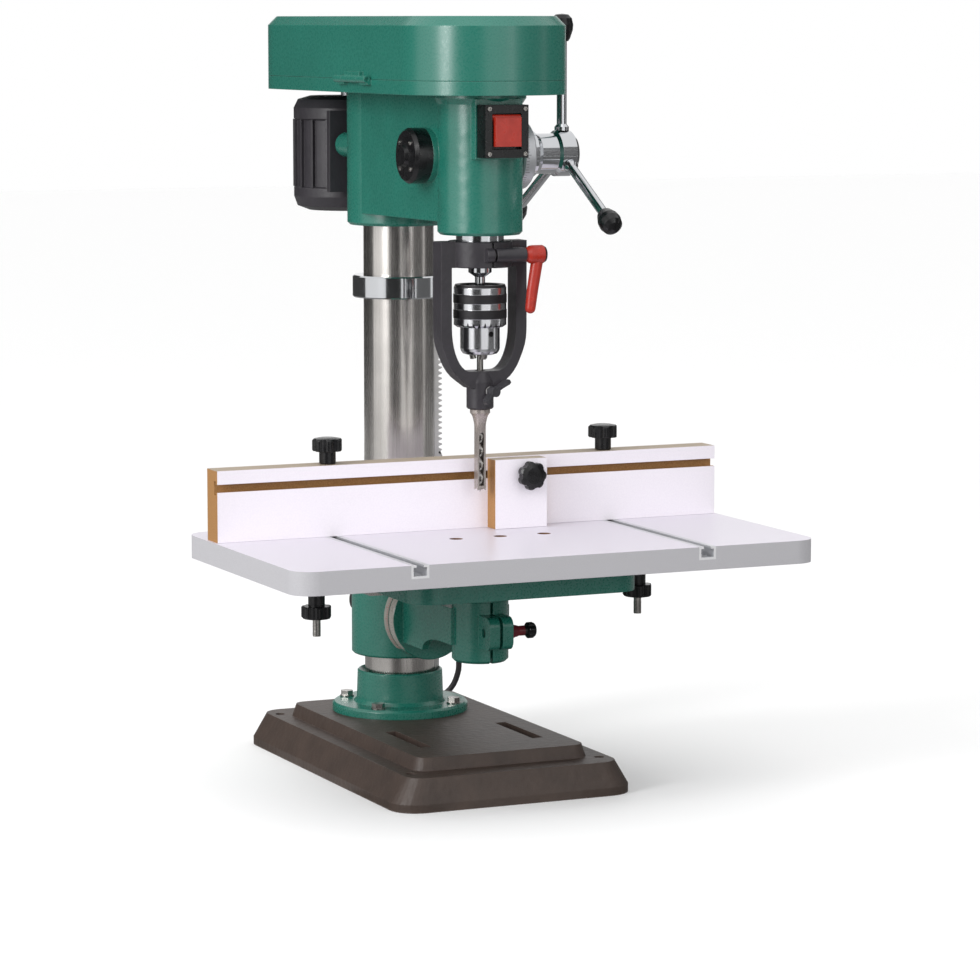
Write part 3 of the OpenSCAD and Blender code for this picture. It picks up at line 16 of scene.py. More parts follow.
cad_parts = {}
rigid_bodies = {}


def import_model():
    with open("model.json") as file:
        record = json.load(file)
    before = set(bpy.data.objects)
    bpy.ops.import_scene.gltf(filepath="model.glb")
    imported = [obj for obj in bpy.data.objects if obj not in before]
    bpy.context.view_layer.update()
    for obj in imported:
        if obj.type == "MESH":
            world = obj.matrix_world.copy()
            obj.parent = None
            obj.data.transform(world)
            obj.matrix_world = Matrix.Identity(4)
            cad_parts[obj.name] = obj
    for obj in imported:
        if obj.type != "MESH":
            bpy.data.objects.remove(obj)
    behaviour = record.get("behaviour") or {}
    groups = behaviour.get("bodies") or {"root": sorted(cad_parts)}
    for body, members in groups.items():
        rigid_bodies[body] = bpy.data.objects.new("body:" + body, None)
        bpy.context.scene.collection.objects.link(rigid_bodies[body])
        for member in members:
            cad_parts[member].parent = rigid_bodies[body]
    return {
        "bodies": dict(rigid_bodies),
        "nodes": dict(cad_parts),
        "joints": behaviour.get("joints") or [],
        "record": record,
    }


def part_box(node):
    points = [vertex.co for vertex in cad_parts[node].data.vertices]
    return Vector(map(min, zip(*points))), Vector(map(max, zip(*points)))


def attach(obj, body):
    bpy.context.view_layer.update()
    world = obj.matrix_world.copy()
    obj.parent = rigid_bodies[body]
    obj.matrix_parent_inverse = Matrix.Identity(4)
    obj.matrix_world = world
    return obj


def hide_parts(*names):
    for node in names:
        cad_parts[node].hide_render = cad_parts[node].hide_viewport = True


Point = tuple[float, float, float]
Colour = tuple[float, float, float, float]
Span = tuple[float, float]
Socket = bpy.types.NodeSocket
Tree = bpy.types.NodeTree

LOG = logging.getLogger("drill_press")
MM = 0.001
# Further off than any piece
FAR = 10.0
# All the values of a mask, and those that most of a noise takes
WHOLE: Span = (0.0, 1.0)
MIDDLE: Span = (0.35, 0.65)


class Axis(Enum):
    """A direction of the part's frame, as the index of its coordinate."""

    X = 0
    Y = 1
    Z = 2


def linear(code: str) -> Colour:
    """Turn an sRGB hex colour into linear values.

    Args:
        code: Six hex digits with a leading hash.

    Returns:
        Red, green, blue and a full alpha.
    """
    parts = [int(code[k:k + 2], 16) / 255 for k in (1, 3, 5)]
    return (*[v / 12.92 if v <= 0.04045 else ((v + 0.055) / 1.055) ** 2.4 for v in parts], 1.0)


def per_metre(size_mm: float) -> float:
    """Scale of a pattern whose features have this size."""
    return 1.0 / (size_mm * MM)


def add(tree: Tree, kind: str, inputs: dict[int | str, Any] | None = None, out: int | str = 0,
        **settings: Any) -> Socket | None:
    """Add one node with its settings, fixed values and links.

    Args:
        tree: Tree that takes the node.
        kind: Blender's name of the node type.
        inputs: Value or linked socket for each input, by name or by number.
        out: Output that is wanted, by name or by number.
        settings: Properties of the node itself.

    Returns:
        The wanted output, or nothing from a node that ends its tree.
    """
    node = tree.nodes.new(kind)
    for key, value in settings.items():
        setattr(node, key, value)
    for key, value in (inputs or {}).items():
        if isinstance(value, Socket):
            tree.links.new(value, node.inputs[key])
        else:
            node.inputs[key].default_value = value
    return node.outputs[out] if len(node.outputs) else None


def bare_tree(owner: bpy.types.Material | bpy.types.World) -> Tree:
    """Give a new material or world an empty node tree.

    Args:
        owner: What gets the nodes.

    Returns:
        Its tree.
    """
    owner.use_nodes = True
    owner.node_tree.nodes.clear()
    return owner.node_tree


def placed(name: str, data: bpy.types.ID) -> bpy.types.Object:
    """Put a mesh, curve, lamp or camera into the scene.

    Args:
        name: Name of the object.
        data: What it shows.

    Returns:
        The object, at the origin.
    """
    made = bpy.data.objects.new(name, data)
    bpy.context.scene.collection.objects.link(made)
    return made


@dataclass
class Coat:
    """A material while it is made: each look is laid over the ones before it, as paint is.

    The place is the point on the piece in metres, and colour and normal are those that the surface has so far.
    """

    tree: Tree
    shader: bpy.types.Node
    place: Socket
    colour: Socket | Colour
    normal: Socket | None = None

    def from_axis(self, point: Point, axis: Axis) -> tuple[Socket, Socket]:
        """Measure how far the surface lies from an axis.

        Args:
            point: A point on the axis.
            axis: Direction of the axis.

        Returns:
            The arm that is square to the axis, and its length.
        """
        square = [0.0 if k is axis else 1.0 for k in Axis]
        arm = add(self.tree, "ShaderNodeVectorMath", {0: self.place, 1: point}, operation="SUBTRACT")
        flat = add(self.tree, "ShaderNodeVectorMath", {0: arm, 1: square}, operation="MULTIPLY")
        return flat, add(self.tree, "ShaderNodeVectorMath", {0: flat}, "Value", operation="LENGTH")

    def between(self, value: Axis | Socket, low: float = -FAR, high: float = FAR,
                within: Socket | None = None) -> Socket:
        """Mask where a value lies between two limits.

        Args:
            value: What is compared: the place along a direction of the frame, or any other value.
            low: Lower limit.
            high: Upper limit.
            within: Mask that this one stays inside.

        Returns:
            One there and nought elsewhere.
        """
        if isinstance(value, Axis):
            value = add(self.tree, "ShaderNodeSeparateXYZ", {0: self.place}, value.value)
        inside = add(self.tree, "ShaderNodeMath", {0: value, 1: (low + high) / 2, 2: (high - low) / 2},
                     operation="COMPARE")
        if within is None:
            return inside
        return add(self.tree, "ShaderNodeMath", {0: inside, 1: within}, operation="MULTIPLY")

    def mottle(self, size_mm: float, octaves: float = 2.0, run: tuple[Axis, float] | None = None) -> Socket:
        """Cover the surface with smooth noise.

        Args:
            size_mm: Size of its features in millimetres.
            octaves: How much finer noise lies over them.
            run: Direction in which they are drawn out, and their length there in millimetres.

        Returns:
            Values round one half.
        """
        scale = [per_metre(size_mm)] * 3
        if run is not None:
            scale[run[0].value] = per_metre(run[1])
        drawn = add(self.tree, "ShaderNodeMapping", {"Vector": self.place, "Scale": scale})
        return add(self.tree, "ShaderNodeTexNoise", {"Vector": drawn, "Scale": 1.0, "Detail": octaves})

    def stain(self, value: Socket, colour: str, most: float = 1.0, span: Span = WHOLE) -> None:
        """Lay another colour over the surface.

        Args:
            value: Mask or noise that says where.
            colour: Hex code of the colour.
            most: Its share where it is strongest.
            span: Values at which it begins and at which it is strongest.
        """
        share = add(self.tree, "ShaderNodeMapRange", {
            "Value": value, "From Min": span[0], "From Max": span[1], "To Min": 0.0, "To Max": most})
        self.colour = add(self.tree, "ShaderNodeMix", {0: share, 6: self.colour, 7: linear(colour)}, 2,
                          data_type="RGBA")
        self.tree.links.new(self.colour, self.shader.inputs["Base Color"])

    def vary(self, quality: str, value: Socket, low: float, high: float, span: Span = WHOLE) -> None:
        """Let a quality of the surface follow a mask or a noise.

        Args:
            quality: The shader's name for it.
            value: What it follows.
            low: Quality at the start of the span.
            high: Quality at its end.
            span: Values that count.
        """
        ranged = add(self.tree, "ShaderNodeMapRange", {
            "Value": value, "From Min": span[0], "From Max": span[1], "To Min": low, "To Max": high})
        self.tree.links.new(ranged, self.shader.inputs[quality])

    def round_edges(self, radius_mm: float) -> None:
        """Round off every edge a little.

        Args:
            radius_mm: Radius in millimetres that paint, moulding or deburring leaves.
        """
        self.normal = add(self.tree, "ShaderNodeBevel", {"Radius": radius_mm * MM}, samples=4)
        self.tree.links.new(self.normal, self.shader.inputs["Normal"])

    def emboss(self, height: Socket, depth_mm: float) -> None:
        """Raise a pattern on the surface.

        Args:
            height: The pattern, from nought to one.
            depth_mm: Its depth in millimetres.
        """
        self.normal = add(self.tree, "ShaderNodeBump", {
            "Height": height, "Distance": depth_mm * MM, "Strength": 1.0, "Normal": self.normal})
        self.tree.links.new(self.normal, self.shader.inputs["Normal"])


@dataclass(frozen=True)
class Finish:
    """A surface as it was made, which writes itself as a material.

    The edge size is the radius that every edge has, the sheen is the strength of the reflection that a surface which
    isn't metal gives straight on, and the swing is how far a pattern takes the roughness below and above its value.
    """

    name: str
    colour: str
    roughness: float
    metallic: float = 0.0
    edge_mm: float = 0.6
    sheen: float = 0.5
    swing: Span = (0.0, 0.0)

    def material(self) -> bpy.types.Material:
        """Make the material once and hand out the same one after that.

        Returns:
            The material.
        """
        found = bpy.data.materials.get(self.name)
        if found is not None:
            return found
        made = bpy.data.materials.new(self.name)
        tree = bare_tree(made)
        paint = linear(self.colour)
        surface = add(tree, "ShaderNodeBsdfPrincipled", {
            "Base Color": paint, "Roughness": self.roughness, "Metallic": self.metallic,
            "Specular IOR Level": self.sheen})
        add(tree, "ShaderNodeOutputMaterial", {"Surface": surface})
        self.work(Coat(tree, surface.node, add(tree, "ShaderNodeTexCoord", out="Object"), paint))
        return made

    def work(self, coat: Coat) -> None:
        """Add what the making left on the surface; each finish does this its own way."""

    def gloss(self) -> Span:
        """Lowest and highest roughness that the surface has."""
        return self.roughness + self.swing[0], self.roughness + self.swing[1]


@dataclass(frozen=True)
class Enamel(Finish):
    """Gloss enamel sprayed on a sand casting: orange peel, lumps below, edges paler from thin paint and a painted
    highlight.
    """

    shade: str = "#1a6456"
    shade_share: float = 0.6
    shade_span: Span = (0.3, 0.7)
    clouds_per_lump: float = 4.0
    # Colour of the edges: paint worn thin there and a painted highlight together
    edge_colour: str = "#46917f"
    edge_share: float = 0.5
    edge_span: Span = (0.985, 0.86)
    peel_mm: float = 2.6
    peel_deep_mm: float = 0.006
    lump_mm: float = 12.0
    lump_deep_mm: float = 0.3
    edge_mm: float = 1.4
    swing: Span = (-0.02, 0.03)

    def work(self, coat: Coat) -> None:
        """Cloud the colour, lighten the edges for thin paint and a painted highlight, and add both bumps.

        Args:
            coat: Material that is being made.
        """
        coat.round_edges(self.edge_mm)
        coat.stain(coat.mottle(self.clouds_per_lump * self.lump_mm), self.shade, self.shade_share, self.shade_span)
        flat_normal = add(coat.tree, "ShaderNodeNewGeometry", out="Normal")
        facing = add(coat.tree, "ShaderNodeVectorMath", {0: coat.normal, 1: flat_normal}, "Value",
                     operation="DOT_PRODUCT")
        # Paler edges: partly paint worn thin, partly a painted highlight
        coat.stain(facing, self.edge_colour, self.edge_share, self.edge_span)
        peel = coat.mottle(self.peel_mm, octaves=1.0)
        coat.vary("Roughness", peel, *self.gloss(), MIDDLE)
        coat.emboss(coat.mottle(self.lump_mm, octaves=0.4), self.lump_deep_mm)
        coat.emboss(peel, self.peel_deep_mm)


@dataclass(frozen=True)
class RimmedEnamel(Enamel):
    """The same enamel on a casting whose round flange carries a printed strip on its rim.

    The flange turns about an axis along Y, and the strip spans an angle on its left.
    """

    axis: Point = (0.0, 0.0, 0.0)
    rim_radius: float = 0.0
    rim_from_y: float = 0.0
    strip_half_deg: float = 45.0
    strip: str = "#a09c94"

    def work(self, coat: Coat) -> None:
        """Lay the enamel, then the strip on the rim.

        Args:
            coat: Material that is being made.
        """
        super().work(coat)
        flat, reach = coat.from_axis(self.axis, Axis.Y)
        rim = coat.between(Axis.Y, low=self.rim_from_y, within=coat.between(reach, low=self.rim_radius))
        aside = add(coat.tree, "ShaderNodeSeparateXYZ", {0: flat}, "X")
        strip_end = -self.rim_radius * math.cos(math.radians(self.strip_half_deg))
        coat.stain(coat.between(aside, high=strip_end, within=rim), self.strip)


@dataclass(frozen=True)
class GroundSteel(Finish):
    """Bare steel with the fine lines of grinding, turning or drawing along one direction.

    The lines are drawn a few times coarser than real ones, so that they show.
    """

    metallic: float = 1.0
    grain: Axis = Axis.Z
    line_mm: float = 0.5
    run_mm: float = 90.0
    line_share: float = 0.35
    dull: str = "#8d8a86"
    patch_mm: float = 45.0
    patch_share: float = 0.4
    edge_mm: float = 0.3
    swing: Span = (-0.04, 0.06)
    depth_mm: float = 0.012

    def work(self, coat: Coat) -> None:
        """Lay dull patches, then lines for colour, gloss and relief.

        Args:
            coat: Material that is being made.
        """
        coat.round_edges(self.edge_mm)
        lines = coat.mottle(self.line_mm, octaves=3.0, run=(self.grain, self.run_mm))
        coat.stain(coat.mottle(self.patch_mm, octaves=3.0), self.dull, self.patch_share, MIDDLE)
        coat.stain(lines, self.dull, self.line_share, MIDDLE)
        coat.vary("Roughness", lines, *self.gloss(), MIDDLE)
        coat.emboss(lines, self.depth_mm)


@dataclass(frozen=True)
class SawnAlloy(GroundSteel):
    """Drawn alloy whose front ends were sawn off: a sawn face scatters light and looks nearly white."""

    cut_to_y: float = 0.0
    sawn: str = "#d6d6d8"

    def work(self, coat: Coat) -> None:
        """Draw the alloy, then whiten the sawn ends.

        Args:
            coat: Material that is being made.
        """
        super().work(coat)
        cut = coat.between(Axis.Y, high=self.cut_to_y)
        coat.stain(cut, self.sawn)
        coat.vary("Metallic", cut, self.metallic, 0.0)


@dataclass(frozen=True)
class Plating(Finish):
    """Bright chrome plate with faint smudges from handling."""

    metallic: float = 1.0
    edge_mm: float = 0.5
    swing: Span = (0.0, 0.1)
    smudge_mm: float = 14.0
    smudge_span: Span = (0.45, 0.7)

    def work(self, coat: Coat) -> None:
        """Let smudges dull the gloss here and there.

        Args:
            coat: Material that is being made.
        """
        coat.round_edges(self.edge_mm)
        coat.vary("Roughness", coat.mottle(self.smudge_mm, octaves=4.0), *self.gloss(), self.smudge_span)


@dataclass(frozen=True)
class BandedChrome(Plating):
    """Chrome plate with knurled dark bands between two heights each, of black oxide or of painted shade.

    Between the recess heights, the same dark colour is painted as shade on the walls of notches and holes, which
    don't face away from the upright middle axis, and on whatever lies within the floor radius of it.
    """

    bands: tuple[Span, ...] = ()
    middle: Point = (0.0, 0.0, 0.0)
    recess: Span = (0.0, 0.0)
    floor_radius: float = 0.0
    wall_facing: float = 0.35
    # Black oxide of the real bands, also used as painted shade
    oxide: str = "#2c2b2d"
    oxide_roughness: float = 0.42
    oxide_metallic: float = 0.5
    knurl_mm: float = 1.6
    knurl_deep_mm: float = 0.25

    def hollows(self, coat: Coat) -> Socket:
        """Mask the walls and floors of notches and holes, where shade is painted.

        Args:
            coat: Material that is being made.

        Returns:
            One in the hollows and nought elsewhere.
        """
        flat, reach = coat.from_axis(self.middle, Axis.Z)
        outwards = add(coat.tree, "ShaderNodeVectorMath", {0: flat}, operation="NORMALIZE")
        own_normal = add(coat.tree, "ShaderNodeTexCoord", out="Normal")
        facing = add(coat.tree, "ShaderNodeVectorMath", {0: outwards, 1: own_normal}, "Value",
                     operation="DOT_PRODUCT")
        wall = coat.between(facing, high=self.wall_facing)
        floor = coat.between(reach, high=self.floor_radius)
        either = add(coat.tree, "ShaderNodeMath", {0: wall, 1: floor}, operation="MAXIMUM")
        return coat.between(Axis.Z, *self.recess, within=either)

    def work(self, coat: Coat) -> None:
        """Mask each band by its height, then darken and knurl it; the hollows get the same dark colour as painted
        shade.

        Args:
            coat: Material that is being made.
        """
        coat.round_edges(self.edge_mm)
        mask = self.hollows(coat)
        for ends in self.bands:
            mask = add(coat.tree, "ShaderNodeMath", {0: mask, 1: coat.between(Axis.Z, *ends)}, operation="MAXIMUM")
        knurl = add(coat.tree, "ShaderNodeTexVoronoi", {"Vector": coat.place, "Scale": per_metre(self.knurl_mm)})
        # Dark colour: black oxide on the real bands, painted shade in the hollows and on bands that stand for shade
        coat.stain(mask, self.oxide)
        coat.vary("Roughness", mask, self.roughness, self.oxide_roughness)
        coat.vary("Metallic", mask, self.metallic, self.oxide_metallic)
        coat.emboss(add(coat.tree, "ShaderNodeMath", {0: knurl, 1: mask}, operation="MULTIPLY"), self.knurl_deep_mm)


@dataclass(frozen=True)
class Moulding(Finish):
    """Moulded plastic: an even colour with a faint grain and flow clouds, glossy or satin."""

    grain_mm: float = 0.9
    grain_deep_mm: float = 0.02
    cloud: str = "#1d1d20"
    cloud_mm: float = 9.0
    cloud_share: float = 0.6
    swing: Span = (-0.04, 0.08)

    def work(self, coat: Coat) -> None:
        """Add the grain, the clouds and a change of gloss.

        Args:
            coat: Material that is being made.
        """
        coat.round_edges(self.edge_mm)
        clouds = coat.mottle(self.cloud_mm)
        coat.stain(clouds, self.cloud, self.cloud_share, MIDDLE)
        coat.vary("Roughness", clouds, *self.gloss(), MIDDLE)
        coat.emboss(coat.mottle(self.grain_mm, octaves=1.0), self.grain_deep_mm)


@dataclass(frozen=True)
class ScrewedMoulding(Moulding):
    """Moulded grip on a steel screw along X: bare steel up to a plane, then the grip, then its end in a third colour.

    The screw is metal and the rest isn't.
    """

    steel_to_x: float = 0.0
    end_from_x: float = 0.0
    end_colour: str = "#141416"
    steel: str = "#8f8d8b"

    def work(self, coat: Coat) -> None:
        """Split the piece at both planes.

        Args:
            coat: Material that is being made.
        """
        super().work(coat)
        screw = coat.between(Axis.X, high=self.steel_to_x)
        coat.stain(coat.between(Axis.X, low=self.end_from_x), self.end_colour)
        coat.stain(screw, self.steel)
        coat.vary("Metallic", screw, 0.0, 1.0)


@dataclass(frozen=True)
class WingedMoulding(Moulding):
    """Moulded wings on a steel screw and nut: bare steel within a radius of an upright axis, plastic outside it."""

    middle: Point = (0.0, 0.0, 0.0)
    steel_radius: float = 0.0
    steel: str = "#c3c2c0"
    steel_metallic: float = 0.6

    def work(self, coat: Coat) -> None:
        """Split the piece by its distance from the axis.

        Args:
            coat: Material that is being made.
        """
        super().work(coat)
        screw = coat.between(coat.from_axis(self.middle, Axis.Z)[1], high=self.steel_radius)
        coat.stain(screw, self.steel)
        coat.vary("Metallic", screw, 0.0, self.steel_metallic)


@dataclass(frozen=True)
class FacedBoard(Finish):
    """Fibreboard with a smooth white laminate on two opposite faces; its other sides are bare or edged.

    The faces lie at the two ends of the board along one axis. Inside the core box the bare board shows.
    """

    faces: Axis = Axis.Z
    low: float = 0.0
    high: float = 0.0
    skin: float = 0.2 * MM
    speck: str = "#d9d3df"
    speck_mm: float = 1.6
    speck_share: float = 0.18
    side: str = "#b3854f"
    side_dark: str = "#946838"
    side_roughness: float = 0.6
    fibre_mm: float = 0.9
    fibre_deep_mm: float = 0.06
    core: str = "#6f4a29"
    core_middle: tuple[float, float] = (0.0, 0.0)
    core_half: float = 0.0
    top_from_z: float = FAR
    top: str = "#a99986"
    edge_mm: float = 0.5

    def work(self, coat: Coat) -> None:
        """Lay the laminate on the faces and fibres on the sides.

        Args:
            coat: Material that is being made.
        """
        coat.round_edges(self.edge_mm)
        sides = coat.between(self.faces, self.low + self.skin, self.high - self.skin)
        fibres = add(coat.tree, "ShaderNodeMath", {0: coat.mottle(self.fibre_mm, octaves=3.0), 1: sides},
                     operation="MULTIPLY")
        coat.stain(coat.mottle(self.speck_mm, octaves=3.0), self.speck, self.speck_share, MIDDLE)
        coat.stain(sides, self.side)
        coat.stain(fibres, self.side_dark, span=MIDDLE)
        if self.core_half > 0.0:
            core = sides
            for axis, middle in zip(Axis, self.core_middle):
                core = coat.between(axis, middle - self.core_half, middle + self.core_half, core)
            coat.stain(core, self.core)
        coat.stain(coat.between(Axis.Z, low=self.top_from_z, high=2 * FAR, within=sides), self.top)
        coat.vary("Roughness", sides, self.roughness, self.side_roughness)
        coat.emboss(fibres, self.fibre_deep_mm)


@dataclass(frozen=True)
class Rubber(Finish):
    """Soft rubber or cable sheath with a dull skin and a fine matt grain."""

    edge_mm: float = 0.4
    grain_mm: float = 0.8
    grain_deep_mm: float = 0.03
    worn: str = "#2a282a"
    worn_mm: float = 22.0
    worn_share: float = 0.6

    def work(self, coat: Coat) -> None:
        """Add the grain and worn, paler patches.

        Args:
            coat: Material that is being made.
        """
        coat.round_edges(self.edge_mm)
        coat.stain(coat.mottle(self.worn_mm, octaves=3.0), self.worn, self.worn_share, MIDDLE)
        coat.emboss(coat.mottle(self.grain_mm), self.grain_deep_mm)


@dataclass(frozen=True)
class Print(Finish):
    """Flat printing ink or a printed strip, with a slight fade."""

    faded: str = "#c9c2b2"
    fade_mm: float = 12.0
    fade_share: float = 0.5

    def work(self, coat: Coat) -> None:
        """Fade the print in soft clouds."""
        coat.stain(coat.mottle(self.fade_mm, octaves=3.0), self.faded, self.fade_share, MIDDLE)


# Printed strip: off-white with a faint fade
STRIP = Print("printed_scale_strip", "#a09c94", 0.45, faded="#8b8880")
# Scale inks: thin flat colours
RED_INK = Print("red_scale_ink", "#a8382f", 0.5, faded="#b9594f")
BLACK_INK = Print("black_scale_ink", "#2a2a2c", 0.5, faded="#3a3a3c")
# Gloss green paint: saturated and wet-looking, with broken highlights from the casting below
GREEN = Enamel("green_enamel_on_cast_iron", "#207061", 0.28, sheen=0.8)
# The same paint on the arm, with the off-white strip on its flange
ARM = RimmedEnamel("green_enamel_with_a_printed_rim", GREEN.colour, GREEN.roughness, sheen=GREEN.sheen,
                   strip=STRIP.colour)
# The same paint on pressed sheet: flatter and smoother, with long soft reflections
SHEET = replace(GREEN, name="green_enamel_on_pressed_steel", lump_mm=45.0, lump_deep_mm=0.12)
# Dull paint on the foot: brownish dark grey, rough, and paler along its edges from rubbing and a painted highlight
FOOT = Enamel("worn_foot_paint_on_cast_iron", "#483b34", 0.5, shade="#392f2a", edge_colour="#5e524b", lump_mm=7.0,
              lump_deep_mm=0.5, peel_mm=1.6, peel_deep_mm=0.12)
# Satin paint on the yoke and motor: nearly black with a soft sheen
CHARCOAL = Enamel("charcoal_paint_on_casting", "#343136", 0.4, shade="#29272b", edge_colour="#4a474a", lump_mm=5.0,
                  lump_deep_mm=0.2, peel_mm=1.3, peel_deep_mm=0.08)
# Ground tube: soft upright bands of light and dark from the room
COLUMN = GroundSteel("ground_steel_tube", "#d6d2ce", 0.22, dull="#b1ada9", run_mm=160.0, line_mm=0.7)
# Turned parts: plain bright steel with fine lines
STEEL = GroundSteel("turned_steel", "#b4b1ad", 0.26)
# Milled rack: short lines and a duller face
RACK_STEEL = GroundSteel("milled_rack_steel", "#dad9d8", 0.38, metallic=0.5, dull="#bcbab8", line_mm=0.8, run_mm=12.0)
# Hardened chisel: darker, greyish brown from heat
CHISEL_STEEL = GroundSteel("ground_tool_steel", "#b3aaa5", 0.24, metallic=0.6, dull="#938b86", run_mm=40.0)
# Drawn alloy of the pulleys and the dial: pale grey and silky
ALLOY = GroundSteel("drawn_alloy", "#d6d7da", 0.36, metallic=0.7, grain=Axis.Y, dull="#bcbdc1", run_mm=60.0)
# The same alloy in the tracks, whose sawn ends look nearly white
TRACK = SawnAlloy("drawn_alloy_with_sawn_ends", ALLOY.colour, ALLOY.roughness, metallic=0.55, grain=ALLOY.grain,
                  dull=ALLOY.dull, run_mm=ALLOY.run_mm)
# Bright chrome: sharp black and white bands
CHROME = Plating("chrome_plate", "#d4d5d8", 0.19)
# Chrome of the chuck: the same bands, broken by rings of matt black, with painted shade in its notches and holes
SLEEVE = BandedChrome("chrome_plate_with_black_bands", CHROME.colour, CHROME.roughness)
# The chuck's body: a dark band painted as shade behind the sleeve's teeth, and painted shade in its key holes
CHUCK_BODY = replace(SLEEVE, name="chrome_plate_with_painted_shade_behind_the_teeth")
# Black knobs: deep black with small sharp highlights
BLACK = Moulding("black_moulded_plastic", "#0c0c0e", 0.26, cloud="#141416", sheen=0.45)
# Red switch: warm opaque red with a satin shine
RED = Moulding("red_moulded_plastic", "#ad2c1d", 0.3, cloud="#9a2519", edge_mm=0.8)
# Clamp lever: the same red on a bare screw, with a dark cap
LEVER = ScrewedMoulding("red_plastic_lever_on_a_steel_screw", RED.colour, RED.roughness, cloud=RED.cloud,
                        edge_mm=RED.edge_mm, end_colour="#3a1a18")
# Lock grip: wine red with a black end, on a bare screw
LOCK_GRIP = ScrewedMoulding("dark_red_and_black_grip", "#6e1c27", 0.3, cloud="#53151e")
# Wing screw: dark grey wings round a bright nut
WINGS = WingedMoulding("grey_wings_on_a_steel_screw", "#3c3b3f", 0.3, cloud="#303033")
# Auxiliary table: cool white laminate with pale grey edging
TABLE_BOARD = FacedBoard("white_laminate_with_grey_edging", "#d7d2dc", 0.34, faces=Axis.Z, side="#bcbbbf",
                         side_dark="#b3b2b6")
# Fence and stop: white laminate on two faces and bare brown board between them
FENCE_BOARD = FacedBoard("white_faced_fence_board", "#eee9f0", 0.34, faces=Axis.Y)
STOP_BOARD = replace(FENCE_BOARD, name="white_faced_stop_block")
# Cable sheath and belt: dull black
RUBBER = Rubber("black_cable_sheath", "#1c1a1c", 0.5)
# Floor paint: plain, pale and matt
FLOOR = Finish("pale_floor_paint", "#fdfdfd", 0.75)

PLAIN_FINISHES: dict[Finish, tuple[str, ...]] = {
    GREEN: ("column_flange", "table_bracket", "cast_table", "head"),
    SHEET: ("belt_guard", "guard_lid"),
    FOOT: ("base",),
    CHARCOAL: ("chisel_yoke", "motor", "motor_plate"),
    COLUMN: ("column",),
    STEEL: ("flange_bolts", "lift_crank", "tilt_bolt", "hold_downs", "fence_bolts", "stop_bolt", "chuck_jaw_1",
            "chuck_jaw_2", "chuck_jaw_3", "auger_bit"),
    RACK_STEEL: ("lift_rack",),
    CHISEL_STEEL: ("chisel",),
    CHROME: ("rack_collar", "feed_hub", "feed_handles", "spindle", "quill"),
    ALLOY: ("spindle_pulley", "motor_pulley", "depth_ring"),
    BLACK: ("bracket_lock", "crank_handle", "hold_knob_left", "hold_knob_right", "fence_knob_left", "fence_knob_right",
            "stop_knob", "feed_knobs", "spring_cap", "switch_box"),
    RED: ("switch_paddle",),
    RUBBER: ("drive_belt", "cord_relief", "cord_tie", "power_plug"),
    STRIP: ("tilt_scale",),
}


@dataclass(frozen=True)
class Row:
    """Small pieces that repeat, grown by Geometry Nodes; every field of a row is a named input of its tree."""

    def instances(self, tree: Tree, given: dict[str, Socket]) -> Socket:
        """Lay out the nodes of the row; each kind of row does this its own way."""
        raise NotImplementedError

    def mesh(self, name: str, finish: Finish, place: Matrix) -> bpy.types.Mesh:
        """Grow the row once and keep it as a plain mesh.

        Args:
            name: Name of the mesh.
            finish: Surface of the row.
            place: Matrix that puts the row in the part's frame.

        Returns:
            The plain mesh, in its place.
        """
        tree = bpy.data.node_groups.new(name, "GeometryNodeTree")
        tree.interface.new_socket("Geometry", in_out="OUTPUT", socket_type="NodeSocketGeometry")
        values = {}
        for field in fields(self):
            kind = "NodeSocketInt" if field.type is int else "NodeSocketFloat"
            socket = tree.interface.new_socket(field.name, in_out="INPUT", socket_type=kind)
            values[socket.identifier] = getattr(self, field.name)
        given = {socket.name: socket for socket in add(tree, "NodeGroupInput").node.outputs}
        solid = add(tree, "GeometryNodeRealizeInstances", {0: self.instances(tree, given)})
        dressed = add(tree, "GeometryNodeSetMaterial", {"Geometry": solid, "Material": finish.material()})
        add(tree, "NodeGroupOutput", {"Geometry": dressed})
        host = placed(name + "_host", bpy.data.meshes.new(name + "_host"))
        modifier = host.modifiers.new("grow", "NODES")
        modifier.node_group = tree
        for identifier, value in values.items():
            modifier[identifier] = value
        mesh = bpy.data.meshes.new_from_object(host.evaluated_get(bpy.context.evaluated_depsgraph_get()))
        host.modifiers.remove(modifier)
        bpy.data.objects.remove(host)
        mesh.name = name
        mesh.transform(place)
        return mesh


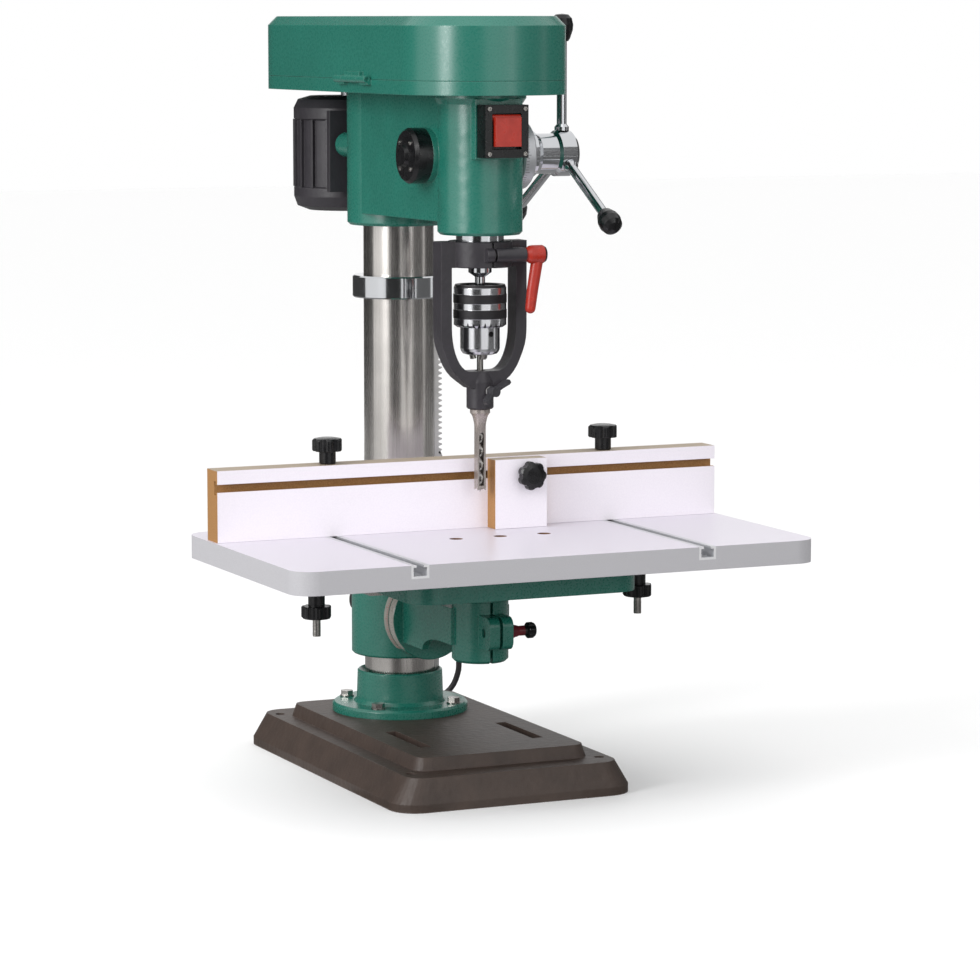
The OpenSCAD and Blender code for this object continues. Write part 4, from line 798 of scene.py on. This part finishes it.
@dataclass(frozen=True)
class ArcMarks(Row):
    """A row of raised marks round +Z, with angles in radians; every so many marks one is longer."""

    count: int
    start: float
    step: float
    radius: float
    width: float
    proud: float
    length: float
    long_every: int = 5
    long_ratio: float = 1.6

    def instances(self, tree: Tree, given: dict[str, Socket]) -> Socket:
        """Set bars on points of the arc.

        Args:
            tree: Tree that takes the nodes.
            given: The tree's inputs, by field.

        Returns:
            The marks as instances.
        """
        index = add(tree, "GeometryNodeInputIndex")
        angle = add(tree, "ShaderNodeMath", {0: index, 1: given["step"], 2: given["start"]}, operation="MULTIPLY_ADD")
        cosine = add(tree, "ShaderNodeMath", {0: angle}, operation="COSINE")
        sine = add(tree, "ShaderNodeMath", {0: angle}, operation="SINE")
        unit = add(tree, "ShaderNodeCombineXYZ", {"X": cosine, "Y": sine})
        spot = add(tree, "ShaderNodeVectorMath", {0: unit, "Scale": given["radius"]}, operation="SCALE")
        points = add(tree, "GeometryNodePoints", {"Count": given["count"], "Position": spot})
        size = add(tree, "ShaderNodeCombineXYZ", {"X": given["proud"], "Y": given["width"], "Z": given["length"]})
        half = add(tree, "ShaderNodeMath", {0: given["length"], 1: 0.5}, operation="MULTIPLY")
        lift = add(tree, "ShaderNodeCombineXYZ", {"Z": half})
        bar = add(tree, "GeometryNodeMeshCube", {"Size": size})
        bar = add(tree, "GeometryNodeTransform", {"Geometry": bar, "Translation": lift})
        rest = add(tree, "ShaderNodeMath", {0: index, 1: given["long_every"]}, operation="MODULO")
        is_long = add(tree, "ShaderNodeMath", {0: rest, 1: 0.5}, operation="LESS_THAN")
        extra = add(tree, "ShaderNodeMath", {0: given["long_ratio"], 1: 1.0}, operation="SUBTRACT")
        stretch = add(tree, "ShaderNodeMath", {0: is_long, 1: extra, 2: 1.0}, operation="MULTIPLY_ADD")
        scale = add(tree, "ShaderNodeCombineXYZ", {"X": 1.0, "Y": 1.0, "Z": stretch})
        spin = add(tree, "ShaderNodeCombineXYZ", {"Z": angle})
        return add(tree, "GeometryNodeInstanceOnPoints", {
            "Points": points, "Instance": bar, "Rotation": spin, "Scale": scale})


@dataclass(frozen=True)
class ThreadRings(Row):
    """Crests of a rolled thread on a stud, as a stack of fine rings that grows upwards."""

    count: int
    pitch: float
    radius: float
    crest: float
    ring_sides: int = 32
    crest_sides: int = 6

    def instances(self, tree: Tree, given: dict[str, Socket]) -> Socket:
        """Stack rings on a line.

        Args:
            tree: Tree that takes the nodes.
            given: The tree's inputs, by field.

        Returns:
            The rings as instances.
        """
        step = add(tree, "ShaderNodeCombineXYZ", {"Z": given["pitch"]})
        line = add(tree, "GeometryNodeMeshLine", {"Count": given["count"], "Offset": step})
        path = add(tree, "GeometryNodeCurvePrimitiveCircle", {
            "Resolution": given["ring_sides"], "Radius": given["radius"]})
        wire = add(tree, "GeometryNodeCurvePrimitiveCircle", {
            "Resolution": given["crest_sides"], "Radius": given["crest"]})
        ring = add(tree, "GeometryNodeCurveToMesh", {"Curve": path, "Profile Curve": wire})
        return add(tree, "GeometryNodeInstanceOnPoints", {"Points": line, "Instance": ring})


@dataclass(frozen=True)
class SocketScrews(Row):
    """Cap screws with a hexagon socket in rows and columns on the XY plane, heads up."""

    width: float
    height: float
    columns: int = 2
    rows: int = 2
    head_radius: float = 2.7 * MM
    head_height: float = 1.9 * MM
    head_sides: int = 24
    taper: float = 0.86
    socket_radius: float = 1.5 * MM
    socket_depth: float = 1.2 * MM
    socket_sides: int = 6

    def instances(self, tree: Tree, given: dict[str, Socket]) -> Socket:
        """Set screws on the corners of a grid.

        Args:
            tree: Tree that takes the nodes.
            given: The tree's inputs, by field.

        Returns:
            The screws as instances.
        """
        grid = add(tree, "GeometryNodeMeshGrid", {
            "Size X": given["width"], "Size Y": given["height"], "Vertices X": given["columns"],
            "Vertices Y": given["rows"]})
        top = add(tree, "ShaderNodeMath", {0: given["head_radius"], 1: given["taper"]}, operation="MULTIPLY")
        head = add(tree, "GeometryNodeMeshCone", {
            "Vertices": given["head_sides"], "Radius Top": top, "Radius Bottom": given["head_radius"],
            "Depth": given["head_height"]})
        through = add(tree, "ShaderNodeMath", {0: given["socket_depth"], 1: 2.0}, operation="MULTIPLY")
        drill = add(tree, "GeometryNodeMeshCylinder", {
            "Vertices": given["socket_sides"], "Radius": given["socket_radius"], "Depth": through})
        lift = add(tree, "ShaderNodeCombineXYZ", {"Z": given["head_height"]})
        drill = add(tree, "GeometryNodeTransform", {"Geometry": drill, "Translation": lift})
        screw = add(tree, "GeometryNodeMeshBoolean", {0: head, 1: drill}, operation="DIFFERENCE")
        return add(tree, "GeometryNodeInstanceOnPoints", {"Points": grid, "Instance": screw})


@dataclass
class Press:
    """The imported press: its nodes, joints and record, with the helpers that every sub-assembly uses."""

    frame: dict[str, Any]

    def dress(self, node: str, finish: Finish) -> None:
        """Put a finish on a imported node.

        Args:
            node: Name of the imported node.
            finish: Surface that it gets.
        """
        for spot in self.frame["nodes"][node].material_slots:
            spot.material = finish.material()
        LOG.info("%s: %s", node, finish.name)

    def joint_place(self, name: str) -> Vector:
        """Point on the axis of a joint, at rest."""
        return Vector(next(joint for joint in self.frame["joints"] if joint["name"] == name)["pos_m"])

    def trim(self, name: str, row: Row, body: str, finish: Finish, slot: str, at: Sequence[float],
             turn: tuple[float, str] = (0.0, "X")) -> None:
        """Add a row of small pieces that rides on a body.

        Args:
            name: Name of the piece.
            row: What is grown.
            body: Body that carries it.
            finish: Surface that it gets.
            slot: Material slot of the record that it belongs to; not used.
            at: Where the row's origin goes.
            turn: Degrees that it is turned there, and about which axis.
        """
        place = Matrix.Translation(at) @ Matrix.Rotation(math.radians(turn[0]), 4, turn[1])
        mesh = row.mesh(name, finish, place)
        mesh.materials.clear()
        mesh.materials.append(finish.material())
        made = placed(name, mesh)
        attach(made, body)
        LOG.info("%s: piece on %s", name, body)


@dataclass
class TableSupport:
    """Bracket, arm and boss lock below the table, with the printed tilt scale."""

    press: Press
    scale_half_deg: float = 45.0
    scale_step_deg: float = 3.0
    mark_width: float = 0.5 * MM
    mark_proud: float = 0.14 * MM
    mark_length: float = 3.4 * MM
    margin: float = 0.8 * MM
    rim_height: float = 1.5 * MM
    disc_depth: float = 12.2 * MM
    hub_length: float = 19.5 * MM
    grip_length: float = 33.0 * MM

    def build(self) -> None:
        """Dress the arm and its lock and print the scale."""
        axis = self.press.joint_place("table_tilt")
        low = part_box("tilt_scale")[0]
        radius = axis.x - low.x
        self.press.dress("table_arm", replace(
            ARM, axis=tuple(axis), rim_radius=radius - self.rim_height, rim_from_y=axis.y - self.disc_depth,
            strip_half_deg=self.scale_half_deg))
        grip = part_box("arm_lock")[1].x - self.grip_length
        self.press.dress("arm_lock", replace(LOCK_GRIP, steel_to_x=grip, end_from_x=grip + self.hub_length))
        marks = ArcMarks(
            int(2 * self.scale_half_deg / self.scale_step_deg) + 1, math.radians(180.0 - self.scale_half_deg),
            math.radians(self.scale_step_deg), radius + self.mark_proud / 4, self.mark_width, self.mark_proud,
            self.mark_length, long_ratio=2.0)
        self.press.trim("tilt_scale_marks", marks, "bracket", RED_INK, "scale_plastic",
                        (axis.x, low.y + self.margin, axis.z), (-90.0, "X"))


@dataclass
class WorkTable:
    """Auxiliary table, fence and stop: laminate faces on fibreboard, held by threaded studs."""

    press: Press
    cut_end: float = 0.3 * MM
    hole_row_half: float = 100.0 * MM
    laminate: float = 0.4 * MM
    stud_radius: float = 4.2 * MM
    thread_pitch: float = 1.5 * MM
    thread_crest: float = 0.3 * MM
    thread_turns: int = 9

    def build(self) -> None:
        """Dress the boards by where their faces lie, and thread the lower ends of the two hold-down studs."""
        low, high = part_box("table_board")
        middle = (low + high) / 2
        self.press.dress("table_board", replace(
            TABLE_BOARD, low=low.z, high=high.z, core_middle=(middle.x, middle.y), core_half=self.hole_row_half))
        for node, board in (("fence", FENCE_BOARD), ("stop_block", STOP_BOARD)):
            low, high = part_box(node)
            self.press.dress(node, replace(board, low=low.y, high=high.y, top_from_z=high.z - self.laminate))
        self.press.dress("t_tracks", replace(TRACK, cut_to_y=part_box("t_tracks")[0].y + self.cut_end))
        first_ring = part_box("hold_downs")[0].z + self.thread_pitch
        rings = ThreadRings(self.thread_turns, self.thread_pitch, self.stud_radius, self.thread_crest)
        for side in ("left", "right"):
            stud = self.press.joint_place(f"hold_knob_{side}_turn")
            self.press.trim(f"hold_down_thread_{side}", rings, "table", STEEL, "bright_steel",
                            (stud.x, stud.y, first_ring))


@dataclass
class QuillSet:
    """Yoke and chuck on the quill: chrome sleeve with two black knurled bands, clamp lever and wing screw."""

    press: Press
    bands_mm: tuple[Span, ...] = ((9.7, 19.3), (26.2, 35.8), (43.0, 60.0))
    notch_bottom: float = 1.0 * MM
    tooth_height: float = 6.6 * MM
    key_hole_below: Span = (11.0 * MM, 3.0 * MM)
    hole_depth: float = 1.0 * MM
    lever_hub: float = 23.1 * MM
    hub_end: float = 2.6 * MM
    nut_reach: float = 4.4 * MM
    neck_radius: float = 12.6 * MM

    def build(self) -> None:
        """Mask the bands by their height above the sleeve's foot and the screws by their ends, and paint shade between
        the teeth, on the body behind them and in the key holes.
        """
        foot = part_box("chuck_sleeve")[0].z
        spindle = tuple(self.press.joint_place("spindle_turn"))
        # Sleeve: real black bands, and painted shade on the walls of the notches between the teeth
        self.press.dress("chuck_sleeve", replace(
            SLEEVE, bands=tuple((foot + low * MM, foot + high * MM) for low, high in self.bands_mm), middle=spindle,
            recess=(foot + self.notch_bottom, foot + self.tooth_height)))
        # Body: a band of painted shade behind the teeth, and painted shade on the walls and floors of the key holes
        low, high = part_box("chuck_body")
        deepest, highest = self.key_hole_below
        self.press.dress("chuck_body", replace(
            CHUCK_BODY, bands=((foot, foot + self.tooth_height),), middle=spindle,
            recess=(foot - deepest, foot - highest), floor_radius=(high.x - low.x) / 2 - self.hole_depth))
        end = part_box("yoke_lever")[1].x
        self.press.dress("yoke_lever", replace(LEVER, steel_to_x=end - self.lever_hub, end_from_x=end - self.hub_end))
        self.press.dress("wing_screw", replace(
            WINGS, middle=tuple(self.press.joint_place("wing_screw_turn")),
            steel_radius=self.neck_radius + self.nut_reach))


@dataclass
class FeedDial:
    """Depth ring on the feed shaft with its graduation."""

    press: Press
    count: int = 72
    mark_width: float = 0.45 * MM
    mark_proud: float = 0.14 * MM
    mark_length: float = 3.2 * MM
    margin: float = 2.6 * MM

    def build(self) -> None:
        """Print the marks round the ring."""
        low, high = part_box("depth_ring")
        axis = self.press.joint_place("feed_turn")
        marks = ArcMarks(self.count, 0.0, math.tau / self.count, (high.z - low.z) / 2, self.mark_width,
                         self.mark_proud, self.mark_length, long_every=6)
        self.press.trim("depth_ring_marks", marks, "depth_dial", BLACK_INK, "track_alloy",
                        (low.x + self.margin, axis.y, axis.z), (90.0, "Y"))


@dataclass
class HeadTrim:
    """Screws on the head: four in the switch case and four in the case of the return spring."""

    press: Press
    switch_inset: float = 4.2 * MM
    spring_pitch: float = 28.0 * MM
    spring_sunk: float = 5.0 * MM

    def build(self) -> None:
        """Set the screws on the two faces."""
        low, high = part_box("switch_box")
        middle, size = (low + high) / 2, high - low
        screws = SocketScrews(size.x - 2 * self.switch_inset, size.z - 2 * self.switch_inset)
        self.press.trim("switch_screws", screws, "stand", STEEL, "bright_steel", (middle.x, low.y, middle.z),
                        (90.0, "X"))
        low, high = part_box("spring_cap")
        middle = (low + high) / 2
        screws = SocketScrews(self.spring_pitch, self.spring_pitch)
        self.press.trim("spring_case_screws", screws, "stand", STEEL, "bright_steel",
                        (low.x + self.spring_sunk, middle.y, middle.z), (-90.0, "Y"))


@dataclass
class PowerCord:
    """Mains lead from its gland under the head, down behind the column and into a tied coil with its plug."""

    press: Press
    diameter: float = 7.0 * MM
    round_steps: int = 4
    coil_centre: tuple[float, float] = (60.0 * MM, 290.0 * MM)
    coil_radius: float = 46.0 * MM
    coil_step: float = 7.6 * MM
    coil_turns: float = 4.5
    climb_turns: float = 0.5
    floor_height: float = 5.4 * MM
    points_per_turn: int = 24
    route_mm: tuple[Point, ...] = (
        (24, 142, 584), (26, 146, 560), (38, 178, 505), (66, 232, 430), (108, 278, 360), (146, 300, 290),
        (162, 306, 200), (165, 306, 120), (167, 309, 64), (167, 313, 44), (160, 319, 25), (142, 328, 11),
        (115, 334, 6), (90, 336, 5.4), (67, 336, 5.4))

    def smooth(self, route: Sequence[Vector]) -> list[Vector]:
        """Points of a Catmull-Rom curve through the route.

        Args:
            route: Points that the cord passes.

        Returns:
            Points close enough together to show no corners.
        """
        ends = [2 * route[0] - route[1], *route, 2 * route[-1] - route[-2]]
        line: list[Vector] = []
        for a, b, c, d in zip(ends, ends[1:], ends[2:], ends[3:]):
            steps = max(2, round((c - b).length / self.diameter))
            for k in range(steps):
                t = k / steps
                line.append(0.5 * (2 * b + (c - a) * t + (2 * a - 5 * b + 4 * c - d) * t * t
                                   + (3 * b - a - 3 * c + d) * t ** 3))
        return [*line, route[-1]]

    def coil_point(self, turn: float) -> Vector:
        """Point of the coil, which goes in along the lower layer and out along the upper one.

        Args:
            turn: Turns from the start of the coil.

        Returns:
            The point.
        """
        radius = self.coil_radius - self.coil_step * min(turn, self.coil_turns - turn)
        angle = math.radians(90 + 360 * turn)
        climb = min(1.0, max(0.0, (turn - self.coil_turns / 2) / self.climb_turns + 0.5))
        height = self.floor_height + self.coil_step * climb * climb * (3 - 2 * climb)
        return Vector((self.coil_centre[0] + radius * math.cos(angle),
                       self.coil_centre[1] + radius * math.sin(angle), height))

    def build(self) -> None:
        line = self.smooth([Vector(p) * MM for p in self.route_mm])
        line += [self.coil_point(k / self.points_per_turn)
                 for k in range(round(self.coil_turns * self.points_per_turn) + 1)]
        line.append(self.coil_point(self.coil_turns) + Vector((self.diameter, 0, 0)))
        curve = bpy.data.curves.new("mains_cord", "CURVE")
        curve.dimensions = "3D"
        curve.bevel_depth = self.diameter / 2
        curve.bevel_resolution = self.round_steps
        curve.use_fill_caps = True
        curve.materials.append(RUBBER.material())
        spline = curve.splines.new("POLY")
        spline.points.add(len(line) - 1)
        for point, place in zip(spline.points, line):
            point.co = (*place, 1.0)
        spline.use_smooth = True
        cord = placed("mains_cord", curve)
        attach(cord, "stand")
        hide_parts("power_cord", "cord_coil")


@dataclass(frozen=True)
class Lamp:
    """A soft box: where it stands, where it points, its size, its power and whether shiny surfaces mirror it."""

    name: str
    place: Point
    aim: Point
    size: tuple[float, float]
    watts: float
    mirrored: bool = True

    def hang(self) -> None:
        """Add the lamp to the scene."""
        light = bpy.data.lights.new(self.name, "AREA")
        light.shape = "RECTANGLE"
        light.size, light.size_y = self.size
        light.energy = self.watts
        lamp = placed(self.name, light)
        lamp.location = self.place
        lamp.rotation_euler = (Vector(self.aim) - Vector(self.place)).to_track_quat("-Z", "Y").to_euler()
        lamp.visible_glossy = self.mirrored


@dataclass(frozen=True)
class Card:
    """A tall curved card round the object that only its shiny surfaces see, as black flags in a studio do.

    Its two angles are counted from the camera's side, to the right as the camera sees it.
    """

    name: str
    from_deg: float
    to_deg: float
    grey: float
    radius: float = 3.4
    bottom: float = 0.02
    top: float = 2.6
    steps: int = 12
    hidden_from: ClassVar[tuple[str, ...]] = ("camera", "diffuse", "shadow", "transmission", "volume_scatter")

    def arc(self, camera_deg: float) -> list[tuple[float, float]]:
        """Points along the card, seen from above.

        Args:
            camera_deg: Angle of the camera's place round the object.

        Returns:
            The two level coordinates of each point.
        """
        turns = [math.radians(camera_deg + self.from_deg + (self.to_deg - self.from_deg) * k / self.steps)
                 for k in range(self.steps + 1)]
        return [(self.radius * math.cos(turn), self.radius * math.sin(turn)) for turn in turns]

    def sheet(self, camera_deg: float) -> tuple[list[Point], list[tuple[int, ...]]]:
        """Corners and faces of the card.

        Args:
            camera_deg: Angle of the camera's place round the object.

        Returns:
            The corners, and the faces by the numbers of their corners.
        """
        verts = [(x, y, z) for x, y in self.arc(camera_deg) for z in (self.bottom, self.top)]
        return verts, [(2 * k, 2 * k + 2, 2 * k + 3, 2 * k + 1) for k in range(self.steps)]

    def surface(self, tree: Tree) -> Socket:
        """Even grey that needs no light."""
        return add(tree, "ShaderNodeEmission", {"Color": (self.grey, self.grey, self.grey, 1.0)})

    def stand(self, camera_deg: float) -> None:
        """Add the card to the scene.

        Args:
            camera_deg: Angle of the camera's place round the object.
        """
        verts, faces = self.sheet(camera_deg)
        mesh = bpy.data.meshes.new(self.name)
        mesh.from_pydata(verts, [], faces)
        cloth = bpy.data.materials.new(self.name)
        tree = bare_tree(cloth)
        add(tree, "ShaderNodeOutputMaterial", {"Surface": self.surface(tree)})
        mesh.materials.append(cloth)
        card = placed(self.name, mesh)
        for ray in self.hidden_from:
            setattr(card, "visible_" + ray, False)


@dataclass(frozen=True)
class GroundCard(Card):
    """A grey sector just above the floor that shines and bounces less than the floor does, as a dark mat would.

    It is seen only from above and never by the camera, so the floor itself stays pale.
    """

    radius: float = 3.3
    bottom: float = 1.0 * MM
    hidden_from: ClassVar[tuple[str, ...]] = ("camera", "shadow")

    def sheet(self, camera_deg: float) -> tuple[list[Point], list[tuple[int, ...]]]:
        """Corners and faces of the sector.

        Args:
            camera_deg: Angle of the camera's place round the object.

        Returns:
            The corners, and the faces by the numbers of their corners.
        """
        verts = [(0.0, 0.0, self.bottom), *((x, y, self.bottom) for x, y in self.arc(camera_deg))]
        return verts, [(0, k + 1, k + 2) for k in range(self.steps)]

    def surface(self, tree: Tree) -> Socket:
        """Even grey above and nothing below.

        Args:
            tree: Tree that takes the nodes.

        Returns:
            The shader.
        """
        below = add(tree, "ShaderNodeNewGeometry", out="Backfacing")
        clear = add(tree, "ShaderNodeBsdfTransparent")
        return add(tree, "ShaderNodeMixShader", {0: below, 1: super().surface(tree), 2: clear})


@dataclass
class Studio:
    """Pale floor, soft boxes, dark cards and the camera of the photograph."""

    camera_place: Point = (-1.6744, -3.8364, 0.8356)
    yaw_deg: float = 24.429
    pitch_deg: float = 7.106
    lens_mm: float = 138.66
    sensor_mm: float = 36.0
    sight: float = 100.0
    floor_half: float = 14.0
    sky_colour: str = "#ffffff"
    sky_strength: float = 1.0
    lamps: tuple[Lamp, ...] = (
        Lamp("overhead_box", (-0.6, -0.9, 3.0), (0.0, -0.05, 0.3), (1.8, 1.6), 5.0),
        Lamp("left_box", (-3.1, -1.2, 1.7), (0.0, 0.0, 0.4), (0.9, 2.2), 70.0),
        Lamp("right_strip", (1.2, -3.2, 1.5), (0.0, 0.0, 0.45), (0.5, 2.2), 7.0),
        Lamp("front_fill", (-1.4, -3.6, 0.7), (0.0, 0.0, 0.3), (1.4, 1.0), 8.0, mirrored=False),
    )
    cards: tuple[Card, ...] = (
        Card("far_left_card", -165.0, -92.0, 0.06),
        Card("front_card", -33.0, 6.0, 0.03),
        Card("right_card", 45.0, 88.0, 0.14),
        Card("far_right_card", 95.0, 160.0, 0.09),
        GroundCard("ground_front", -33.0, 3.0, 0.12),
        GroundCard("ground_front_right", 3.0, 42.0, 0.4),
        GroundCard("ground_right", 42.0, 100.0, 0.16),
        GroundCard("ground_back", 100.0, 250.0, 0.3),
        GroundCard("ground_left", 250.0, 327.0, 0.5),
    )

    def build(self) -> None:
        """Set up everything that isn't the object."""
        self.set_camera()
        self.lay_floor()
        self.set_sky()
        for lamp in self.lamps:
            lamp.hang()
        camera_deg = math.degrees(math.atan2(self.camera_place[1], self.camera_place[0]))
        for card in self.cards:
            card.stand(camera_deg)
        bpy.context.scene.view_settings.view_transform = "Standard"

    def set_camera(self) -> None:
        """Put the camera where the photograph was taken from."""
        lens = bpy.data.cameras.new("photo_camera")
        lens.lens = self.lens_mm
        lens.sensor_width = self.sensor_mm
        lens.clip_end = self.sight
        camera = placed("photo_camera", lens)
        camera.location = self.camera_place
        camera.rotation_euler = (math.radians(90 - self.pitch_deg), 0.0, math.radians(-self.yaw_deg))
        bpy.context.scene.camera = camera

    def lay_floor(self) -> None:
        """Lay a plain pale floor at the foot's height."""
        half = self.floor_half
        mesh = bpy.data.meshes.new("pale_floor")
        mesh.from_pydata([(-half, -half, 0), (half, -half, 0), (half, half, 0), (-half, half, 0)], [], [(0, 1, 2, 3)])
        mesh.materials.append(FLOOR.material())
        placed("pale_floor", mesh)

    def set_sky(self) -> None:
        """Light the room evenly with a pale sky."""
        world = bpy.data.worlds.new("studio")
        tree = bare_tree(world)
        sky = add(tree, "ShaderNodeBackground", {"Color": linear(self.sky_colour), "Strength": self.sky_strength})
        add(tree, "ShaderNodeOutputWorld", {"Surface": sky})
        bpy.context.scene.world = world


def main() -> None:
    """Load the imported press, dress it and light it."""
    logging.basicConfig(level=logging.INFO, format="%(name)s %(message)s")
    press = Press(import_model())
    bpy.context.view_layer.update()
    Studio().build()
    PowerCord(press).build()
    for finish, nodes in PLAIN_FINISHES.items():
        for node in nodes:
            press.dress(node, finish)
    for assembly in (TableSupport, WorkTable, QuillSet, FeedDial, HeadTrim):
        assembly(press).build()


if __name__ == "__main__":
    main()
